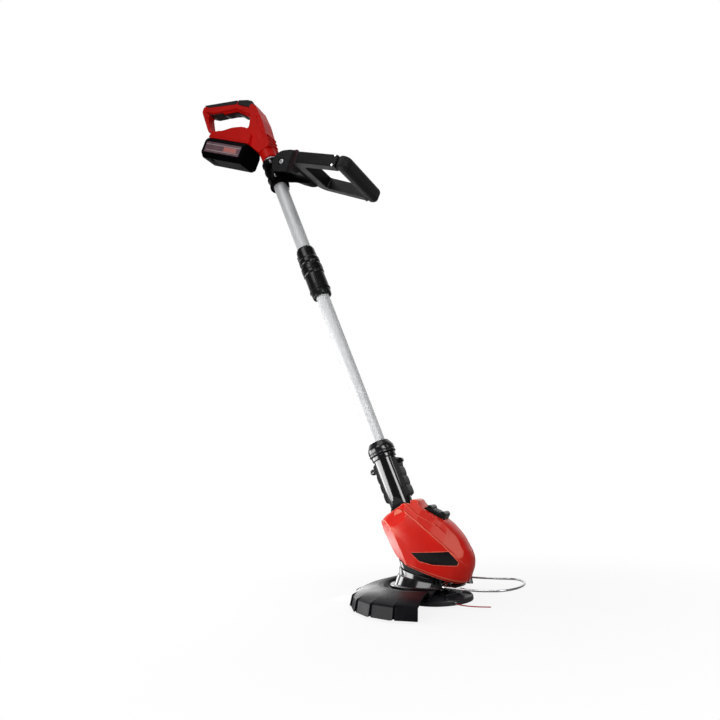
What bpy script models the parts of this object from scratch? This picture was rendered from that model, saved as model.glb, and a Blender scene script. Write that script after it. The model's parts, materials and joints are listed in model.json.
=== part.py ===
"""Cordless string trimmer with a telescopic pole.

Metres, +Z up, +X forward (towards the front handle), Y = 0 is the middle plane.
The origin is the middle of the flat underside of the bump knob, with the cutting plane level.
"""
import math

import bmesh
import bpy
from mathutils import Matrix, Vector

for old in list(bpy.data.objects):
    bpy.data.objects.remove(old, do_unlink=True)

# Clearances
GAP = 0.0003
SHELL_SPLIT = 0.00015

# Pole: it passes through the head's tilt hinge and leans back
POLE_LEAN = math.radians(18.0)
HINGE_X = -0.047
HINGE_Z = 0.1337
LOWER_TUBE_R = 0.0125
TUBE_WALL = 0.0009
LOWER_TUBE_BOTTOM = 0.0303
LOWER_TUBE_TOP = 0.572
PIVOT_HEIGHT = 0.730
UPPER_TUBE_TOP = PIVOT_HEIGHT + 0.105
LOWER_BORE_R = LOWER_TUBE_R - TUBE_WALL
UPPER_BORE_R = LOWER_TUBE_R + GAP
UPPER_TUBE_R = UPPER_BORE_R + TUBE_WALL
TUBE_SEAT_R = UPPER_TUBE_R + GAP

# Telescope lock
COLLAR_TOP = 0.534
COLLAR_BOTTOM = 0.481
SPIGOT_BOTTOM = 0.462
SPIGOT_R = 0.017
UPPER_TUBE_BOTTOM = 0.468
NUT_BOTTOM = 0.422
NUT_R = 0.0208

# Sleeve at the lower end of the pole
SLEEVE_R = 0.019
SLEEVE_TOP = 0.1007
CAP_TOP = 0.124
CAP_R = 0.0232
RIB_PITCH = 0.016
RIB_FIRST = 0.032
RIB_COUNT = 4
RIB_REACH = 0.0245
RIB_HALF_WIDTH = 0.011
HINGE_PIN_R = 0.003
HINGE_PIN_HALF = 0.0265
TILT_RANGE = math.radians(45.0)

# Motor housing, in a frame that lies on its lower rim
RIM_X = -0.062
RIM_Z = 0.066
RIM_SLOPE = math.radians(17.3)
RIM_DROOP = 0.06
HOUSING_WALL = 0.0024
HOUSING_POWER = 2.5
MOUTH_HEIGHT = 0.013

# Lower cover, guard and cutting head
COVER_BASE = 0.0251
MOTOR_R = 0.018
MOTOR_BOTTOM = 0.0468
MOTOR_TOP = 0.1
SHAFT_R = 0.003
GUARD_WALL = 0.0022
GUARD_PLATE = 0.0248
GUARD_RIM_Z = 0.0208
GUARD_SKIRT_R = 0.1385
GUARD_RIM_R = GUARD_SKIRT_R - 0.005
GUARD_SKIRT_Z = 0.0033
GUARD_FRONT = 0.013
GUARD_PANELS = 10
GUARD_STEP = 0.0014
SPOOL_R = 0.049
SPOOL_TOP = 0.017
SPOOL_FLOOR = 0.0034
EYELET_ANGLE = math.radians(-46.0)
EYELET_Z = 0.0052
LINE_R = 0.0008
WIRE_R = 0.0016
WIRE_PIVOT_X = 0.02
WIRE_PIVOT_Z = 0.0295

# Rear handle, drawn where it sits with the tube's top at HANDLE_DRAWN_AT
BAR_HALF = 0.014
COLUMN_HALF = 0.018
FOOT_HALF = 0.0245
NECK_BOTTOM = UPPER_TUBE_TOP - 0.064
HANDLE_DRAWN_AT = 0.835
SCREW_R = 0.0028

# Battery, in a frame at the rear lower edge of its straight sides
BATTERY_X = -0.452
BATTERY_Z = 0.936
BATTERY_TILT = math.radians(27.9)
BATTERY_LENGTH = 0.121
BATTERY_HALF = 0.029
BATTERY_SIDE = 0.027
BATTERY_CHAMFER = 0.009
BATTERY_WALL = 0.0022
RAIL_HALF = 0.0195
RAIL_NECK = 0.0165
RAIL_LIP = 0.002
RAIL_HEIGHT = 0.0045
CELL_R = 0.009
CELL_LENGTH = 0.05
CELL_COUNT = 5

# Front handle and its clamp
CLAMP_BOTTOM = PIVOT_HEIGHT - 0.031
CLAMP_TOP = PIVOT_HEIGHT + 0.033
CLAMP_R = 0.0195
PIVOT_FORWARD = 0.031
LUG_HALF = 0.0115
LOOP_ANGLE = math.radians(46.1)
LOOP_HALF_DEPTH = 0.0115
BAR_WIDTH = 0.018
REAR_BAR = 0.072
CROSSBAR = 0.183
REAR_HALF = 0.052
FRONT_HALF = 0.066

POLE = Matrix.Translation((HINGE_X, 0, HINGE_Z)) @ Matrix.Rotation(-POLE_LEAN, 4, 'Y')
RIM = Matrix.Translation((RIM_X, 0, RIM_Z)) @ Matrix.Rotation(RIM_SLOPE, 4, 'Y')
HANDLE = Matrix.Translation(POLE.to_3x3() @ Vector((0, 0, UPPER_TUBE_TOP - HANDLE_DRAWN_AT)))
BATTERY = (HANDLE @ Matrix.Translation((BATTERY_X, 0, BATTERY_Z))
           @ Matrix.Rotation(BATTERY_TILT, 4, 'Y'))
LOOP = (POLE @ Matrix.Translation((PIVOT_FORWARD, 0, PIVOT_HEIGHT))
        @ Matrix.Rotation(LOOP_ANGLE, 4, 'Y'))
WORLD = Matrix.Identity(4)


def new_collection(name):
    made = bpy.data.collections.new(name)
    bpy.context.scene.collection.children.link(made)
    return made


PARTS = new_collection('string_trimmer')
CUTTERS = new_collection('cutters')


def material(name, colour, roughness, metallic=0.0):
    made = bpy.data.materials.new(name)
    made.use_nodes = True
    shader = made.node_tree.nodes['Principled BSDF']
    shader.inputs['Base Color'].default_value = (*colour, 1.0)
    shader.inputs['Roughness'].default_value = roughness
    shader.inputs['Metallic'].default_value = metallic
    made.diffuse_color = (*colour, 1.0)
    return made


RED = material('red_plastic', (0.62, 0.03, 0.015), 0.32)
BLACK = material('black_plastic', (0.02, 0.02, 0.022), 0.35)
SOFT = material('soft_black_grip', (0.03, 0.03, 0.032), 0.7)
DARK = material('dark_grey_plastic', (0.05, 0.05, 0.055), 0.5)
ALUMINIUM = material('aluminium', (0.8, 0.81, 0.82), 0.3, 1.0)
STEEL = material('steel', (0.6, 0.6, 0.6), 0.28, 1.0)
COPPER = material('motor_steel', (0.35, 0.34, 0.33), 0.4, 1.0)
CABLE = material('cable_black', (0.03, 0.03, 0.03), 0.5)
LINE = material('red_line', (0.7, 0.03, 0.03), 0.4)
CELLS = material('cell_wrap', (0.1, 0.3, 0.25), 0.4)


def empty(name, matrix, parent=None):
    made = bpy.data.objects.new(name, None)
    PARTS.objects.link(made)
    if parent:
        made.parent = parent
    made.matrix_world = matrix
    return made


def add_object(name, mesh, matrix, look=None, body=None):
    """Makes an object; without a look it is a cutter."""
    made = bpy.data.objects.new(name, mesh)
    (PARTS if look else CUTTERS).objects.link(made)
    if look:
        mesh.materials.append(look)
    else:
        made.hide_render = True
        made.display_type = 'WIRE'
    made.matrix_world = matrix
    if body:
        made.parent = body
        made.matrix_parent_inverse = body.matrix_world.inverted()
    return made


def smooth(mesh, degrees=35):
    mesh.shade_smooth()
    mesh.set_sharp_from_angle(angle=math.radians(degrees))


def bevel(thing, width, segments=2, angle=40):
    if width:
        made = thing.modifiers.new('rounded_edges', 'BEVEL')
        made.width = width
        made.segments = segments
        made.limit_method = 'ANGLE'
        made.angle_limit = math.radians(angle)
    return thing


def boolean(thing, operand, operation='DIFFERENCE'):
    made = thing.modifiers.new(operation.lower(), 'BOOLEAN')
    made.object = operand
    made.operation = operation
    made.solver = 'EXACT'
    return thing


def cut(thing, *cutters):
    for cutter in cutters:
        boolean(thing, cutter)
    return thing


def join(thing, *others):
    for other in others:
        boolean(thing, other, 'UNION')
    return thing


def block(name, low, high, matrix=WORLD, look=None, body=None, soften=0.0):
    """A box between two corners of its frame."""
    form = bmesh.new()
    bmesh.ops.create_cube(form, size=1.0)
    low = Vector(low)
    size = Vector(high) - low
    for corner in form.verts:
        corner.co = Vector(low[i] + (corner.co[i] + 0.5) * size[i] for i in range(3))
    mesh = bpy.data.meshes.new(name)
    form.to_mesh(mesh)
    form.free()
    return bevel(add_object(name, mesh, matrix, look, body), soften)


def rod(name, radius, start, end, matrix=WORLD, look=None, body=None, sides=24, soften=0.0):
    """A round bar between two points of its frame."""
    start = Vector(start)
    run = Vector(end) - start
    form = bmesh.new()
    bmesh.ops.create_cone(form, cap_ends=True, segments=sides, radius1=radius, radius2=radius,
                          depth=run.length)
    turn = run.to_track_quat('Z', 'Y').to_matrix().to_4x4()
    bmesh.ops.transform(form, matrix=Matrix.Translation(start + run / 2) @ turn, verts=form.verts)
    mesh = bpy.data.meshes.new(name)
    form.to_mesh(mesh)
    form.free()
    smooth(mesh)
    return bevel(add_object(name, mesh, matrix, look, body), soften)


def turned(name, profile, matrix=WORLD, look=None, body=None, steps=32, closed=True):
    """Spins (radius, height) points, listed down the outer side, round the frame's Z."""
    count = len(profile)
    edges = [(i, i + 1) for i in range(count - 1)]
    if closed:
        edges.append((count - 1, 0))
    mesh = bpy.data.meshes.new(name)
    mesh.from_pydata([(r, 0.0, z) for r, z in profile], edges, [])
    made = add_object(name, mesh, matrix, look, body)
    screw = made.modifiers.new('turned', 'SCREW')
    screw.axis = 'Z'
    screw.steps = steps
    screw.render_steps = steps
    screw.use_merge_vertices = True
    screw.merge_threshold = 0.00001
    screw.use_smooth_shade = True
    return made


def curve_to_mesh(name, curve, matrix, look, body):
    """Turns a curve into a closed mesh, so that it can be cut or joined."""
    guide = bpy.data.objects.new(name + '_guide', curve)
    CUTTERS.objects.link(guide)
    guide.matrix_world = matrix
    view = bpy.context.evaluated_depsgraph_get()
    mesh = bpy.data.meshes.new_from_object(guide.evaluated_get(view))
    bpy.data.objects.remove(guide, do_unlink=True)
    form = bmesh.new()
    form.from_mesh(mesh)
    bmesh.ops.remove_doubles(form, verts=form.verts, dist=0.000001)
    bmesh.ops.recalc_face_normals(form, faces=form.faces)
    form.to_mesh(mesh)
    form.free()
    mesh.materials.clear()
    mesh.name = name
    return add_object(name, mesh, matrix, look, body)


def flat(name, outline, low, high, matrix=WORLD, look=None, body=None, holes=(), soften=0.0,
         segments=2):
    """A plate: an outline in the frame's XZ plane, with its thickness along Y."""
    curve = bpy.data.curves.new(name, 'CURVE')
    curve.dimensions = '2D'
    curve.fill_mode = 'BOTH'
    curve.extrude = (high - low) / 2
    for loop in (outline, *holes):
        spline = curve.splines.new('POLY')
        spline.points.add(len(loop) - 1)
        for point, (x, z) in zip(spline.points, loop):
            point.co = (x, z, 0.0, 1.0)
        spline.use_cyclic_u = True
    lie = Matrix.Translation((0, (low + high) / 2, 0)) @ Matrix.Rotation(math.radians(90), 4, 'X')
    made = curve_to_mesh(name, curve, matrix @ lie, look, body)
    return bevel(made, soften, segments, 30)


def tube(name, points, radius, matrix=WORLD, look=None, body=None, resolution=2, closed=False):
    """A round wire or cable along points of its frame."""
    curve = bpy.data.curves.new(name, 'CURVE')
    curve.dimensions = '3D'
    curve.bevel_depth = radius
    curve.bevel_resolution = resolution
    curve.use_fill_caps = True
    spline = curve.splines.new('POLY')
    spline.points.add(len(points) - 1)
    for point, place in zip(spline.points, points):
        point.co = (*place, 1.0)
    spline.use_cyclic_u = closed
    made = curve_to_mesh(name, curve, matrix, look, body)
    smooth(made.data, 60)
    return made


def loft(name, rings, matrix=WORLD, look=None, body=None):
    """A closed skin over rings of equal point counts, with a flat cap at each end."""
    count = len(rings[0])
    places = [place for ring in rings for place in ring]
    faces = [tuple(range(count)), tuple((len(rings) - 1) * count + i for i in reversed(range(count)))]
    for row in range(len(rings) - 1):
        for i in range(count):
            after = (i + 1) % count
            low = row * count
            faces.append((low + i, low + count + i, low + count + after, low + after))
    mesh = bpy.data.meshes.new(name)
    mesh.from_pydata(places, [], faces)
    form = bmesh.new()
    form.from_mesh(mesh)
    bmesh.ops.recalc_face_normals(form, faces=form.faces)
    form.to_mesh(mesh)
    form.free()
    smooth(mesh, 30)
    return add_object(name, mesh, matrix, look, body)


def arc(centre, radius, first, last, count):
    """Points along an arc, its angles in degrees from the frame's X towards Z."""
    return [(centre[0] + radius * math.cos(math.radians(first + (last - first) * i / (count - 1))),
             centre[1] + radius * math.sin(math.radians(first + (last - first) * i / (count - 1))))
            for i in range(count)]


def spline_points(route, count):
    """Evenly spaced points on a smooth curve through a route."""
    route = [Vector(place) for place in route]
    ends = [2 * route[0] - route[1]] + route + [2 * route[-1] - route[-2]]
    fine = []
    for i in range(1, len(ends) - 2):
        a, b, c, d = ends[i - 1:i + 3]
        for step in range(40):
            t = step / 40
            fine.append(0.5 * (2 * b + (c - a) * t + (2 * a - 5 * b + 4 * c - d) * t * t
                               + (3 * b - a - 3 * c + d) * t ** 3))
    fine.append(route[-1])
    run = [0.0]
    for one, two in zip(fine, fine[1:]):
        run.append(run[-1] + (two - one).length)
    points = []
    at = 0
    for i in range(count):
        want = run[-1] * i / (count - 1)
        while at < len(run) - 2 and run[at + 1] < want:
            at += 1
        share = (want - run[at]) / max(run[at + 1] - run[at], 1e-12)
        points.append(tuple(fine[at].lerp(fine[at + 1], min(share, 1.0))))
    return points


def mirrored(points):
    """Closes a half outline, given on the -Y side, with its mirror image."""
    return points + [(x, -y) for x, y in reversed(points)]


def mirrored_across(half):
    """Closes a half outline, given on the left, with its mirror image on the right."""
    return half + [(-x, z) for x, z in reversed(half)]


UPPER = empty('upper_body', POLE)
BATTERY_BODY = empty('battery_body', BATTERY, UPPER)
CLAMP = empty('clamp_body', POLE, UPPER)
FRONT_HANDLE = empty('front_handle_body', LOOP, CLAMP)
LOWER = empty('lower_pole_body', POLE, UPPER)
HEAD = empty('head_body', Matrix.Translation((HINGE_X, 0, HINGE_Z)), LOWER)
SPOOL = empty('spool_body', WORLD, HEAD)


def make_tubes():
    turned('upper_tube', [(UPPER_TUBE_R, UPPER_TUBE_TOP), (UPPER_TUBE_R, UPPER_TUBE_BOTTOM),
                          (UPPER_BORE_R, UPPER_TUBE_BOTTOM), (UPPER_BORE_R, UPPER_TUBE_TOP)],
           POLE, ALUMINIUM, UPPER, 40)
    turned('lower_tube', [(LOWER_TUBE_R, LOWER_TUBE_TOP), (LOWER_TUBE_R, LOWER_TUBE_BOTTOM),
                          (LOWER_BORE_R, LOWER_TUBE_BOTTOM), (LOWER_BORE_R, LOWER_TUBE_TOP)],
           POLE, ALUMINIUM, LOWER, 40)


def make_telescope_lock():
    shoulder = COLLAR_BOTTOM + 0.0095
    ring = shoulder + 0.0165
    turned('telescope_collar', [
        (UPPER_TUBE_R + 0.0028, COLLAR_TOP), (UPPER_TUBE_R + 0.0045, COLLAR_TOP - 0.006),
        (UPPER_TUBE_R + 0.005, ring + 0.002), (NUT_R - 0.0007, ring), (NUT_R - 0.0004, ring - 0.009),
        (NUT_R - 0.0019, ring - 0.011), (NUT_R - 0.0019, shoulder + 0.002),
        (NUT_R + 0.0003, shoulder), (NUT_R + 0.0003, COLLAR_BOTTOM),
        (SPIGOT_R, COLLAR_BOTTOM), (SPIGOT_R, SPIGOT_BOTTOM), (UPPER_BORE_R, SPIGOT_BOTTOM),
        (UPPER_BORE_R, UPPER_TUBE_BOTTOM - GAP), (TUBE_SEAT_R, UPPER_TUBE_BOTTOM - GAP),
        (TUBE_SEAT_R, COLLAR_TOP)], POLE, BLACK, UPPER)
    nut_top = COLLAR_BOTTOM - GAP
    nut_bore = SPIGOT_R + GAP
    floor = NUT_BOTTOM + 0.006
    nut = turned('telescope_nut', [
        (NUT_R, nut_top), (NUT_R, nut_top - 0.007), (NUT_R - 0.0014, nut_top - 0.009),
        (NUT_R - 0.0014, NUT_BOTTOM + 0.024), (NUT_R - 0.0024, NUT_BOTTOM + 0.002),
        (NUT_R - 0.0044, NUT_BOTTOM), (LOWER_TUBE_R + GAP, NUT_BOTTOM),
        (LOWER_TUBE_R + GAP, floor), (nut_bore, floor + 0.0015), (nut_bore, nut_top)],
        POLE, BLACK, UPPER)
    for i in range(8):
        angle = math.radians(360 / 8 * i)
        out = NUT_R + 0.0006
        cut(nut, rod(f'nut_groove_{i}', 0.0016,
                     (out * math.cos(angle), out * math.sin(angle), nut_top - 0.012),
                     (out * math.cos(angle), out * math.sin(angle), NUT_BOTTOM + 0.006),
                     POLE, sides=10))
    collet = turned('telescope_collet', [
        (nut_bore - GAP, SPIGOT_BOTTOM - GAP), (nut_bore - GAP, floor + 0.012),
        (LOWER_TUBE_R + 0.0026, floor + 0.0018), (LOWER_TUBE_R + GAP, floor + 0.0018),
        (LOWER_TUBE_R + GAP, SPIGOT_BOTTOM - GAP)], POLE, DARK, UPPER)
    cut(collet, block('collet_slit', (0, -0.001, floor - 0.01), (0.03, 0.001, COLLAR_TOP), POLE))


def rib_outline(side):
    """The scalloped bar along the front or back of the sleeve, as (forward, height)."""
    inner = side * (SLEEVE_R - 0.004)
    points = [(inner, RIB_FIRST - 0.7 * RIB_PITCH)]
    for i in range(RIB_COUNT):
        middle = RIB_FIRST + RIB_PITCH * i
        for share, reach in ((-0.46, 0.76), (-0.28, 0.97), (0.0, 1.0), (0.28, 0.97), (0.46, 0.76)):
            out = SLEEVE_R - 0.002 + (RIB_REACH - SLEEVE_R + 0.002) * reach
            points.append((side * out, middle + RIB_PITCH * share))
    points.append((inner, RIB_FIRST + (RIB_COUNT - 0.3) * RIB_PITCH))
    return points


def make_sleeve():
    hub_half = SLEEVE_R
    sleeve = rod('pole_sleeve', SLEEVE_R, (0, 0, 0), (0, 0, SLEEVE_TOP), POLE, BLACK, LOWER, 36)
    join(sleeve, rod('sleeve_hub', SLEEVE_R - 0.0002, (0, -hub_half + 0.0004, 0),
                     (0, hub_half - 0.0004, 0), POLE, sides=36))
    for side, place in ((1, 'front'), (-1, 'rear')):
        join(sleeve, flat(f'sleeve_ribs_{place}', rib_outline(side), -RIB_HALF_WIDTH,
                          RIB_HALF_WIDTH, POLE))
    eye_height = 0.081
    eye_reach = -0.0275
    join(sleeve, rod('sleeve_eye', 0.005, (eye_reach, -0.0035, eye_height),
                     (eye_reach, 0.0035, eye_height), POLE, sides=20),
         rod('sleeve_lug', 0.0042, (0.0265, -0.0035, eye_height),
             (0.0265, 0.0035, eye_height), POLE, sides=20))
    cut(sleeve, rod('sleeve_eye_hole', 0.0022, (eye_reach - 0.0012, -0.02, eye_height),
                    (eye_reach - 0.0012, 0.02, eye_height), POLE, sides=16),
        rod('sleeve_bore', LOWER_TUBE_R + GAP, (0, 0, LOWER_TUBE_BOTTOM - GAP), (0, 0, 0.2), POLE,
            sides=36),
        rod('sleeve_cable_hole', 0.0045, (0, 0, -0.03), (0, 0, 0.05), POLE),
        rod('sleeve_pin_hole', HINGE_PIN_R + GAP, (0, -0.05, 0), (0, 0.05, 0), POLE))
    turned('sleeve_cap', [
        (LOWER_TUBE_R + 0.002, CAP_TOP), (LOWER_TUBE_R + 0.0048, CAP_TOP - 0.0025),
        (CAP_R - 0.0022, CAP_TOP - 0.0095), (CAP_R, CAP_TOP - 0.017), (CAP_R, SLEEVE_TOP + GAP),
        (LOWER_TUBE_R + GAP, SLEEVE_TOP + GAP), (LOWER_TUBE_R + GAP, CAP_TOP)], POLE, BLACK, LOWER)


def superellipse(centre_x, half_x, half_y, z, count=32, power=2.0):
    """A ring of points in the frame's XY plane, rounder or squarer with its power."""
    ring = []
    for i in range(count):
        angle = 2 * math.pi * (i + 0.5) / count
        c, s = math.cos(angle), math.sin(angle)
        scale = (abs(c) ** power + abs(s) ** power) ** (-1 / power)
        ring.append((centre_x + half_x * c * scale, half_y * s * scale, z))
    return ring


# Housing sections: height over the rim, rear end, front end and half width
HOUSING_SECTIONS = (
    (0.0, -0.002, 0.1085, 0.0355), (0.004, -0.0075, 0.1145, 0.038), (0.011, -0.015, 0.117, 0.040),
    (0.021, -0.024, 0.118, 0.0415), (0.032, -0.0335, 0.116, 0.042), (0.042, -0.0385, 0.1105, 0.0415),
    (0.0475, -0.0405, 0.1055, 0.0408), (0.0588, -0.036, 0.0955, 0.038), (0.0675, -0.0285, 0.084, 0.035),
    (0.076, -0.0205, 0.0690, 0.0315), (0.082, -0.014, 0.0480, 0.0295), (0.088, -0.008, 0.0280, 0.028),
    (0.096, -0.002, 0.0165, 0.026))


def housing_solid(name, inset, matrix=RIM):
    rings = []
    for height, rear, front, half in HOUSING_SECTIONS:
        ring = superellipse((rear + front) / 2, (front - rear) / 2 - inset, half - inset, height,
                            32, HOUSING_POWER)
        if height == 0.0:
            drop = 0.03 if inset > 0 else 0.0
            ring = [(x, y, -RIM_DROOP * x - drop) for x, y, _ in ring]
        rings.append(ring)
    return loft(name, rings, matrix)


def swing_channel(name, half):
    """The room that the sleeve's hub and lower end sweep as the head tilts."""
    reach = SLEEVE_R + 0.0008
    out = RIB_REACH + 0.0012
    far = 0.085
    back = math.degrees(TILT_RANGE)
    outline = [(out - 0.003, far), (out - 0.003, 0.014)]
    outline += arc((0, 0), reach, 0, -(180 - back), 14)
    lean = Vector((-math.sin(TILT_RANGE), math.cos(TILT_RANGE)))
    side = Vector((-math.cos(TILT_RANGE), -math.sin(TILT_RANGE)))
    for along, across in ((0.014, reach), (0.018, out), (far, out)):
        place = lean * along + side * across
        outline.append((place.x, place.y))
    outline.append((-0.075, far))
    return flat(name, outline, -half, half, POLE)


TILT_BUTTON_X = 0.0078
TILT_BUTTON_Z = 0.131
TILT_BUTTON_SLOPE = math.radians(28.0)
TILT_BUTTON = (Matrix.Translation((TILT_BUTTON_X, 0, TILT_BUTTON_Z))
               @ Matrix.Rotation(TILT_BUTTON_SLOPE, 4, 'Y'))
TILT_BUTTON_HALF = 0.0165
TILT_BUTTON_TOP = 0.0045


def make_housing():
    inner = housing_solid('housing_hollow', HOUSING_WALL)
    cut(inner, block('hollow_roof_cut', (-0.2, -0.1, MOUTH_HEIGHT - HOUSING_WALL),
                     (0.2, 0.1, 0.3), POLE))
    roof_cut = block('roof_cut', (-0.2, -0.1, MOUTH_HEIGHT), (0.2, 0.1, 0.3), POLE)
    channel = swing_channel('hinge_channel', SLEEVE_R + 0.0008)
    button_hole = block('button_hole', (-TILT_BUTTON_HALF - GAP, -0.0135, -0.06),
                        (TILT_BUTTON_HALF + GAP, 0.0135, 0.03), TILT_BUTTON, soften=0.002)
    badge_cut = badge('badge_recess', GAP, 0.002, BADGE_DEPTH)
    for side, place in ((-1, 'right'), (1, 'left')):
        shell = housing_solid(f'housing_{place}', 0.0)
        CUTTERS.objects.unlink(shell)
        PARTS.objects.link(shell)
        shell.hide_render = False
        shell.display_type = 'TEXTURED'
        shell.data.materials.append(RED)
        shell.parent = HEAD
        shell.matrix_parent_inverse = HEAD.matrix_world.inverted()
        low, high = sorted((side * SHELL_SPLIT, side * 0.1))
        keep = block(f'keep_{place}', (-0.3, low, -0.3), (0.3, high, 0.3))
        boolean(shell, keep, 'INTERSECT')
        boss_low, boss_high = sorted((side * (SLEEVE_R + 0.0009), side * (HINGE_PIN_HALF + 0.002)))
        boss = rod(f'pin_boss_{place}', HINGE_PIN_R + 0.0045, (0, boss_low, 0), (0, boss_high, 0),
                   POLE)
        cut(shell, roof_cut, inner, channel, button_hole, badge_cut)
        join(shell, boss)
        cut(shell, rod(f'pin_seat_{place}', HINGE_PIN_R + GAP, (0, -HINGE_PIN_HALF - GAP, 0),
                       (0, HINGE_PIN_HALF + GAP, 0), POLE))
    rod('hinge_pin', HINGE_PIN_R, (0, -HINGE_PIN_HALF, 0), (0, HINGE_PIN_HALF, 0), POLE, STEEL,
        HEAD, soften=0.0005)


BADGE_OUTLINE = ((-0.027, 0.077), (0.031, 0.0766), (0.0425, 0.0613), (0.0405, 0.0568),
                 (0.0066, 0.0595), (-0.0145, 0.0647))
BADGE_DEPTH = 0.0012


def badge(name, grow, proud, depth, look=None, body=None):
    """A piece of the housing's skin on its right side, between two depths."""
    made = flat(name, grown(BADGE_OUTLINE, grow), -0.06, -0.02, WORLD, look, body)
    boolean(made, housing_solid(name + '_outside', -proud), 'INTERSECT')
    return cut(made, housing_solid(name + '_inside', depth))


def make_tilt_button():
    button = block('tilt_button', (-TILT_BUTTON_HALF, -0.013, -0.0155),
                   (TILT_BUTTON_HALF, 0.013, TILT_BUTTON_TOP), TILT_BUTTON, BLACK, HEAD,
                   0.0025)
    for side in (-1, 1):
        join(button, rod(f'button_hump_{side}', 0.0033, (side * 0.0125, -0.0115, 0.0032),
                         (side * 0.0125, 0.0115, 0.0032), TILT_BUTTON, sides=20))


def rim_height(x):
    """Height of the plane between the housing and the lower cover."""
    return RIM_Z - (x - RIM_X) * math.tan(RIM_SLOPE + math.atan(RIM_DROOP))


def cover_ring(share, centre_x, half_x, half_y, grow=0.0, base=COVER_BASE, lift=0.0):
    """A ring of the lower cover, from its base (share 0) to its sloping rim (share 1)."""
    ring = []
    for x, y, _ in superellipse(centre_x, half_x - grow, half_y - grow, 0, 32, 2.2):
        ring.append((x, y, base + share * (rim_height(x) - GAP - base) + lift))
    return ring


def make_lower_cover():
    rows = ((0.0, -0.019, 0.0600, 0.0470), (0.08, -0.019, 0.0600, 0.0470),
            (0.10, -0.0165, 0.0545, 0.0430), (0.45, -0.0135, 0.0515, 0.0385),
            (0.47, -0.0125, 0.0500, 0.0370), (0.72, -0.0115, 0.0505, 0.0360),
            (0.74, -0.0105, 0.0495, 0.0350), (1.0, -0.0105, 0.0515, 0.0350))
    cover = loft('lower_cover', [cover_ring(*row) for row in rows], WORLD, BLACK, HEAD)
    wall = 0.0025
    hollow = [cover_ring(0.0, -0.0165, 0.052, 0.0405, 2 * wall, COVER_BASE + wall),
              cover_ring(0.5, -0.012, 0.0505, 0.0375, wall, COVER_BASE + wall),
              cover_ring(1.0, -0.0105, 0.0515, 0.035, wall, COVER_BASE + wall, 0.02)]
    cut(cover, loft('cover_hollow', hollow))
    seat_top = MOTOR_BOTTOM - GAP
    join(cover, rod('motor_seat', MOTOR_R - 0.001, (0, 0, COVER_BASE + 0.001), (0, 0, seat_top)))
    cut(cover, rod('shaft_hole', SHAFT_R + GAP, (0, 0, 0), (0, 0, 0.2)))
    for side in (-1, 1):
        join(cover, rod(f'wire_socket_{side}', 0.0042, (WIRE_PIVOT_X, side * 0.0265, WIRE_PIVOT_Z),
                        (WIRE_PIVOT_X, side * 0.0398, WIRE_PIVOT_Z)))
        cut(cover, rod(f'wire_hole_{side}', WIRE_R + GAP, (WIRE_PIVOT_X, side * 0.028, WIRE_PIVOT_Z),
                       (WIRE_PIVOT_X, side * 0.06, WIRE_PIVOT_Z), sides=16))
    motor = rod('motor', MOTOR_R, (0, 0, MOTOR_BOTTOM), (0, 0, MOTOR_TOP), WORLD, COPPER, HEAD, 32,
                0.001)
    cut(motor, rod('rotor_hole', SHAFT_R + GAP, (0, 0, 0), (0, 0, MOTOR_BOTTOM + 0.011)))


def guard_radius(angle):
    """How far the skirt stands out: each panel starts flush and ends one step out."""
    pitch = math.pi / GUARD_PANELS
    return GUARD_STEP * (angle % pitch) / pitch


def make_guard():
    profile = ((0.0045, GUARD_PLATE), (0.083, GUARD_PLATE), (0.0875, 0.0305), (0.0955, 0.0318),
               (0.118, 0.0272), (GUARD_RIM_R, GUARD_RIM_Z), (GUARD_SKIRT_R, GUARD_SKIRT_Z))
    half_sweep = math.radians(100)
    pitch = math.pi / GUARD_PANELS
    angles = []
    for panel in range(-6, 7):
        for share in (0.02, 0.35, 0.68, 0.98):
            angle = (panel + share - 0.5) * pitch
            if abs(angle) < half_sweep:
                angles.append(angle)
    last = len(profile) - 1
    places = []
    for angle in angles:
        for i, (radius, height) in enumerate(profile):
            out = radius + (guard_radius(angle + pitch / 2) if i >= last - 1 else 0.0)
            places.append((-out * math.cos(angle), -out * math.sin(angle), height))
    count = len(profile)
    faces = [(row * count + i, row * count + i + 1, (row + 1) * count + i + 1,
              (row + 1) * count + i) for row in range(len(angles) - 1) for i in range(last)]
    mesh = bpy.data.meshes.new('guard')
    mesh.from_pydata(places, [], faces)
    mesh.update()
    smooth(mesh, 25)
    guard = add_object('guard', mesh, WORLD, DARK, HEAD)
    wall = guard.modifiers.new('wall', 'SOLIDIFY')
    wall.thickness = GUARD_WALL
    wall.offset = -1.0
    wall.use_even_offset = True
    cut(guard, block('guard_front_cut', (GUARD_FRONT, -0.2, -0.1), (0.2, 0.2, 0.2)),
        rod('guard_shaft_hole', 0.0085, (0, 0, -0.1), (0, 0, 0.2)))
    inner, outer = GUARD_SKIRT_R - 0.022, GUARD_SKIRT_R - 0.0075
    flat('line_cutter', [(-inner, 0.006), (-inner, 0.0185), (-outer, 0.0185), (-outer, 0.005)],
         -0.0006, 0.0006, Matrix.Translation((GUARD_FRONT - 0.0011, 0, 0))
         @ Matrix.Rotation(math.radians(-90), 4, 'Z'), STEEL, HEAD)


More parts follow.
